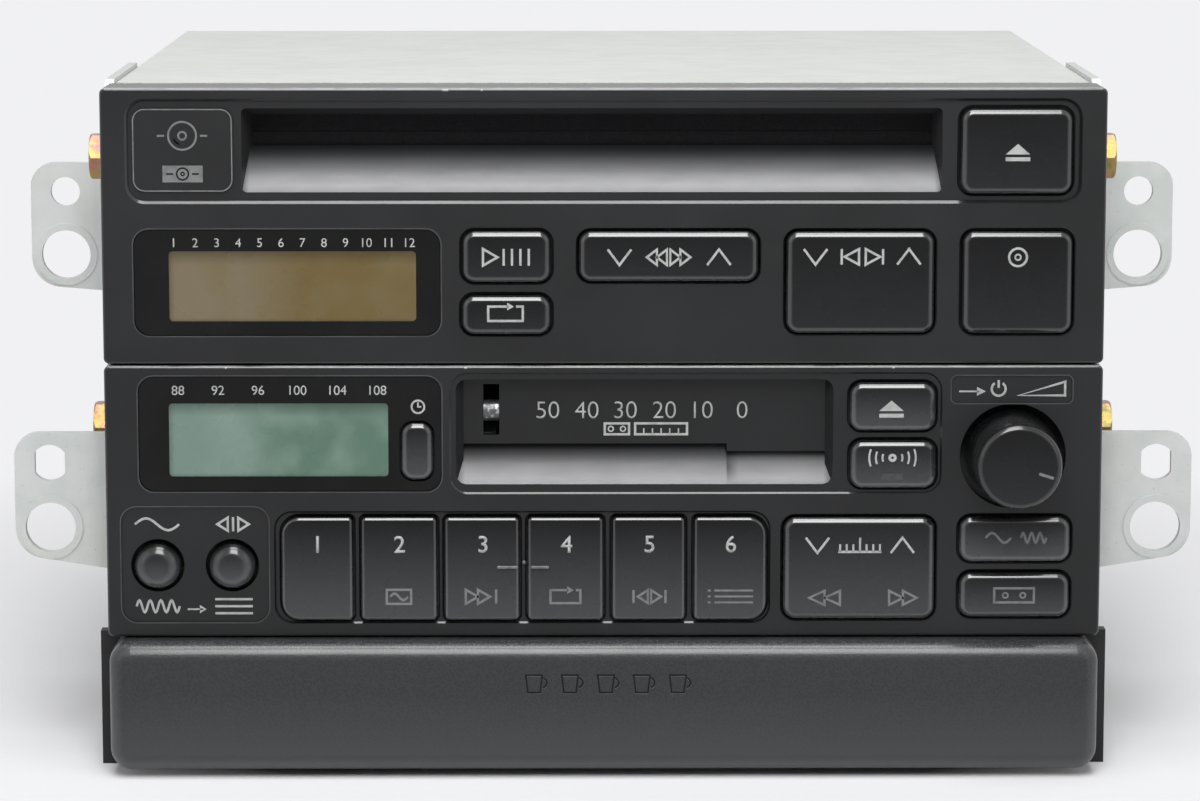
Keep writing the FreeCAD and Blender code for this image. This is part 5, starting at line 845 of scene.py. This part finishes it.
def display(name, left, right, low, top, colours):
    """A display in its window: colours from left to right, darker under the upper and left edges."""
    made = Finish(name, colours[0], 0.3, specular=0.25)
    wide = right - left
    made.tint(colours[1], made.along("X", left + wide * 0.3, left + wide * 0.55))
    cloud = made.times(made.ramp(made.noise(9.0, 2.0), 0.45, 0.7), 0.7)
    made.tint(colours[2], cloud)
    # Painted shade under the upper, left and lower edges.
    made.tint(colours[3], made.times(made.along("Z", top - 2.4, top), 0.75))
    made.tint(colours[3], made.times(made.along("X", left + 1.0, left), 0.5))
    made.tint(colours[3], made.times(made.along("Z", low + 0.6, low), 0.5))
    made.value("Roughness", made.noise(6.0), 0.3, 0.7, 0.24, 0.36)
    middle = ((left + right) / 2, WINDOW_FACE, (low + top) / 2)
    glowing = plate(name, middle, (wide, 0.1, top - low), 0.7, made)


GREENS = ("6d8278", "556f61", "798d82", "3b4a41")
TANS = ("716752", "655532", "6c6042", "3b331f")
display("tuner_display", -78.4, -38.9, 54.85, 68.16, GREENS)
band_scale = Marks("band_scale", WINDOW_FACE).at(-58.7, 70.56)
for number in range(6):
    band_scale.figure(str(88 + 4 * number), -18.0 + 7.2 * number, 0, 1.7)
band_scale.done(white_ink)
clock_sign = Marks("window_key_sign", WINDOW_FACE).at(-33.5, 67.53)
clock_sign.arc(0, 0, 1.15, stroke=0.34)
clock_sign.line([(0, 0.8), (0, 0), (0.6, 0)], stroke=0.3)
clock_sign.done(white_ink)

# Disc deck window: the same smoked plate, glued in over a tan display.
# The numbers of twelve discs are printed above it.
display("disc_display", -78.0, -33.7, 83.1, 95.75, TANS)
disc_scale = Marks("disc_scale", WINDOW_FACE).at(-55.9, 97.3)
for number in range(12):
    disc_scale.figure(str(number + 1), -21.2 + 3.85 * number, 0, 1.6)
disc_scale.done(white_ink)

# Sign pad beside the disc slot: a flat pad, raised in a shallow recess, with the sign of a disc.
# A pale field below it holds the same disc in black.
# The pale line round the pad is a painted highlight along its rim, drawn in the grey ink.
badge_rim_highlight = Marks("badge_rim_highlight", WINDOW_FACE, stroke=0.2).at(-75.3, 113.9)
badge_rim_highlight.frame(0, 0, 17.6, 14.6, 2.0)
badge_rim_highlight.done(grey_ink)
badge = Marks("badge_signs", WINDOW_FACE, stroke=0.34).at(-75.3, 116.5)
badge.arc(0, 0, 2.5)
badge.arc(0, 0, 0.7)
for side in (-1, 1):
    badge.line([(side * 3.2, 0), (side * 4.5, 0)])
    badge.arc(0, 0, 1.6, 45 - side * 25 + 180, 45 + side * 25 + 180, stroke=0.25)
badge.at(-75.3, 109.66).fill([(-3.6, -1.5), (3.6, -1.5), (3.6, 1.5), (-3.6, 1.5)])
badge.done(grey_ink)
badge_disc = Marks("badge_disc", WINDOW_FACE - 0.04, stroke=0.3).at(-75.3, 109.66)
badge_disc.arc(0, 0, 1.05)
badge_disc.arc(0, 0, 0.3, stroke=0.25)
for side in (-1, 1):
    badge_disc.line([(side * 1.7, 0), (side * 2.9, 0)])
badge_disc.done(painted_shade_and_black_ink)

# Disc slot: two lips of black felt, glued to the roof and the floor inside the throat.
# They keep dust out and wipe the disc.
felt = Finish("black_felt", "1d1d1e", 0.95, specular=0.1)
felt.tint("252527", felt.ramp(felt.noise(0.4, 2.0), 0.4, 0.7))
felt.grain(felt.noise(0.3, 3.0), 0.08)
FELT_X = -2.1
FELT_Y = -71.5
FELT_WIDE = 125.4
FELT_DEEP = 2.0
for name, low, top in (("slot_felt_low", 114.0, 116.5), ("slot_felt_high", 116.6, 119.7)):
    plate(name, (FELT_X, FELT_Y, (low + top) / 2), (FELT_WIDE, FELT_DEEP, top - low), 0.3, felt)

# Disc deck keys: moulded and snapped in like those of the receiver, in the same plastic.
# Their signs are plain arrows, bars and rings in white ink.
disc_eject = signs_on("cd_eject_key").at(73.92, 113.52)
eject_sign(disc_eject)
disc_eject.done(white_ink, "cd_eject_key")

scan = signs_on("cd_scan_key").at(-17.34, 94.82)
scan.triangle(-3.0, 0, 2.6, 3.0)
for number in range(4):
    scan.line([(-0.6 + 1.5 * number, -1.5), (-0.6 + 1.5 * number, 1.5)])
scan.done(white_ink, "cd_scan_key")
repeat = signs_on("cd_repeat_key").at(-17.64, 84.62)
loop_sign(repeat, 6.2, 2.6)
repeat.done(white_ink, "cd_repeat_key")

fast = signs_on("cd_fast_key").at(11.6, 94.8)
for side in (-1, 1):
    double_arrow(fast, side * 2.1, side * 3.6, 2.8)
fast.at(2.80, 94.8).chevron(0, 0, 4.2, -2.8)
fast.at(20.62, 94.8).chevron(0, 0, 4.2, 2.8)
fast.done(white_ink, "cd_fast_key")
track = signs_on("cd_track_key").at(46.3, 94.86)
for side in (-1, 1):
    track.triangle(side * 1.9, 0, side * 2.6, 2.8)
    track.line([(side * 3.7, -1.4), (side * 3.7, 1.4)])
track.at(37.91, 94.86).chevron(0, 0, 4.2, -2.8)
track.at(54.66, 94.86).chevron(0, 0, 4.2, 2.8)
track.done(white_ink, "cd_track_key")
source = signs_on("cd_source_key").at(74.19, 94.75)
source.arc(0, 0, 1.6)
source.arc(0, 0, 0.5, stroke=0.3)
source.done(white_ink, "cd_source_key")
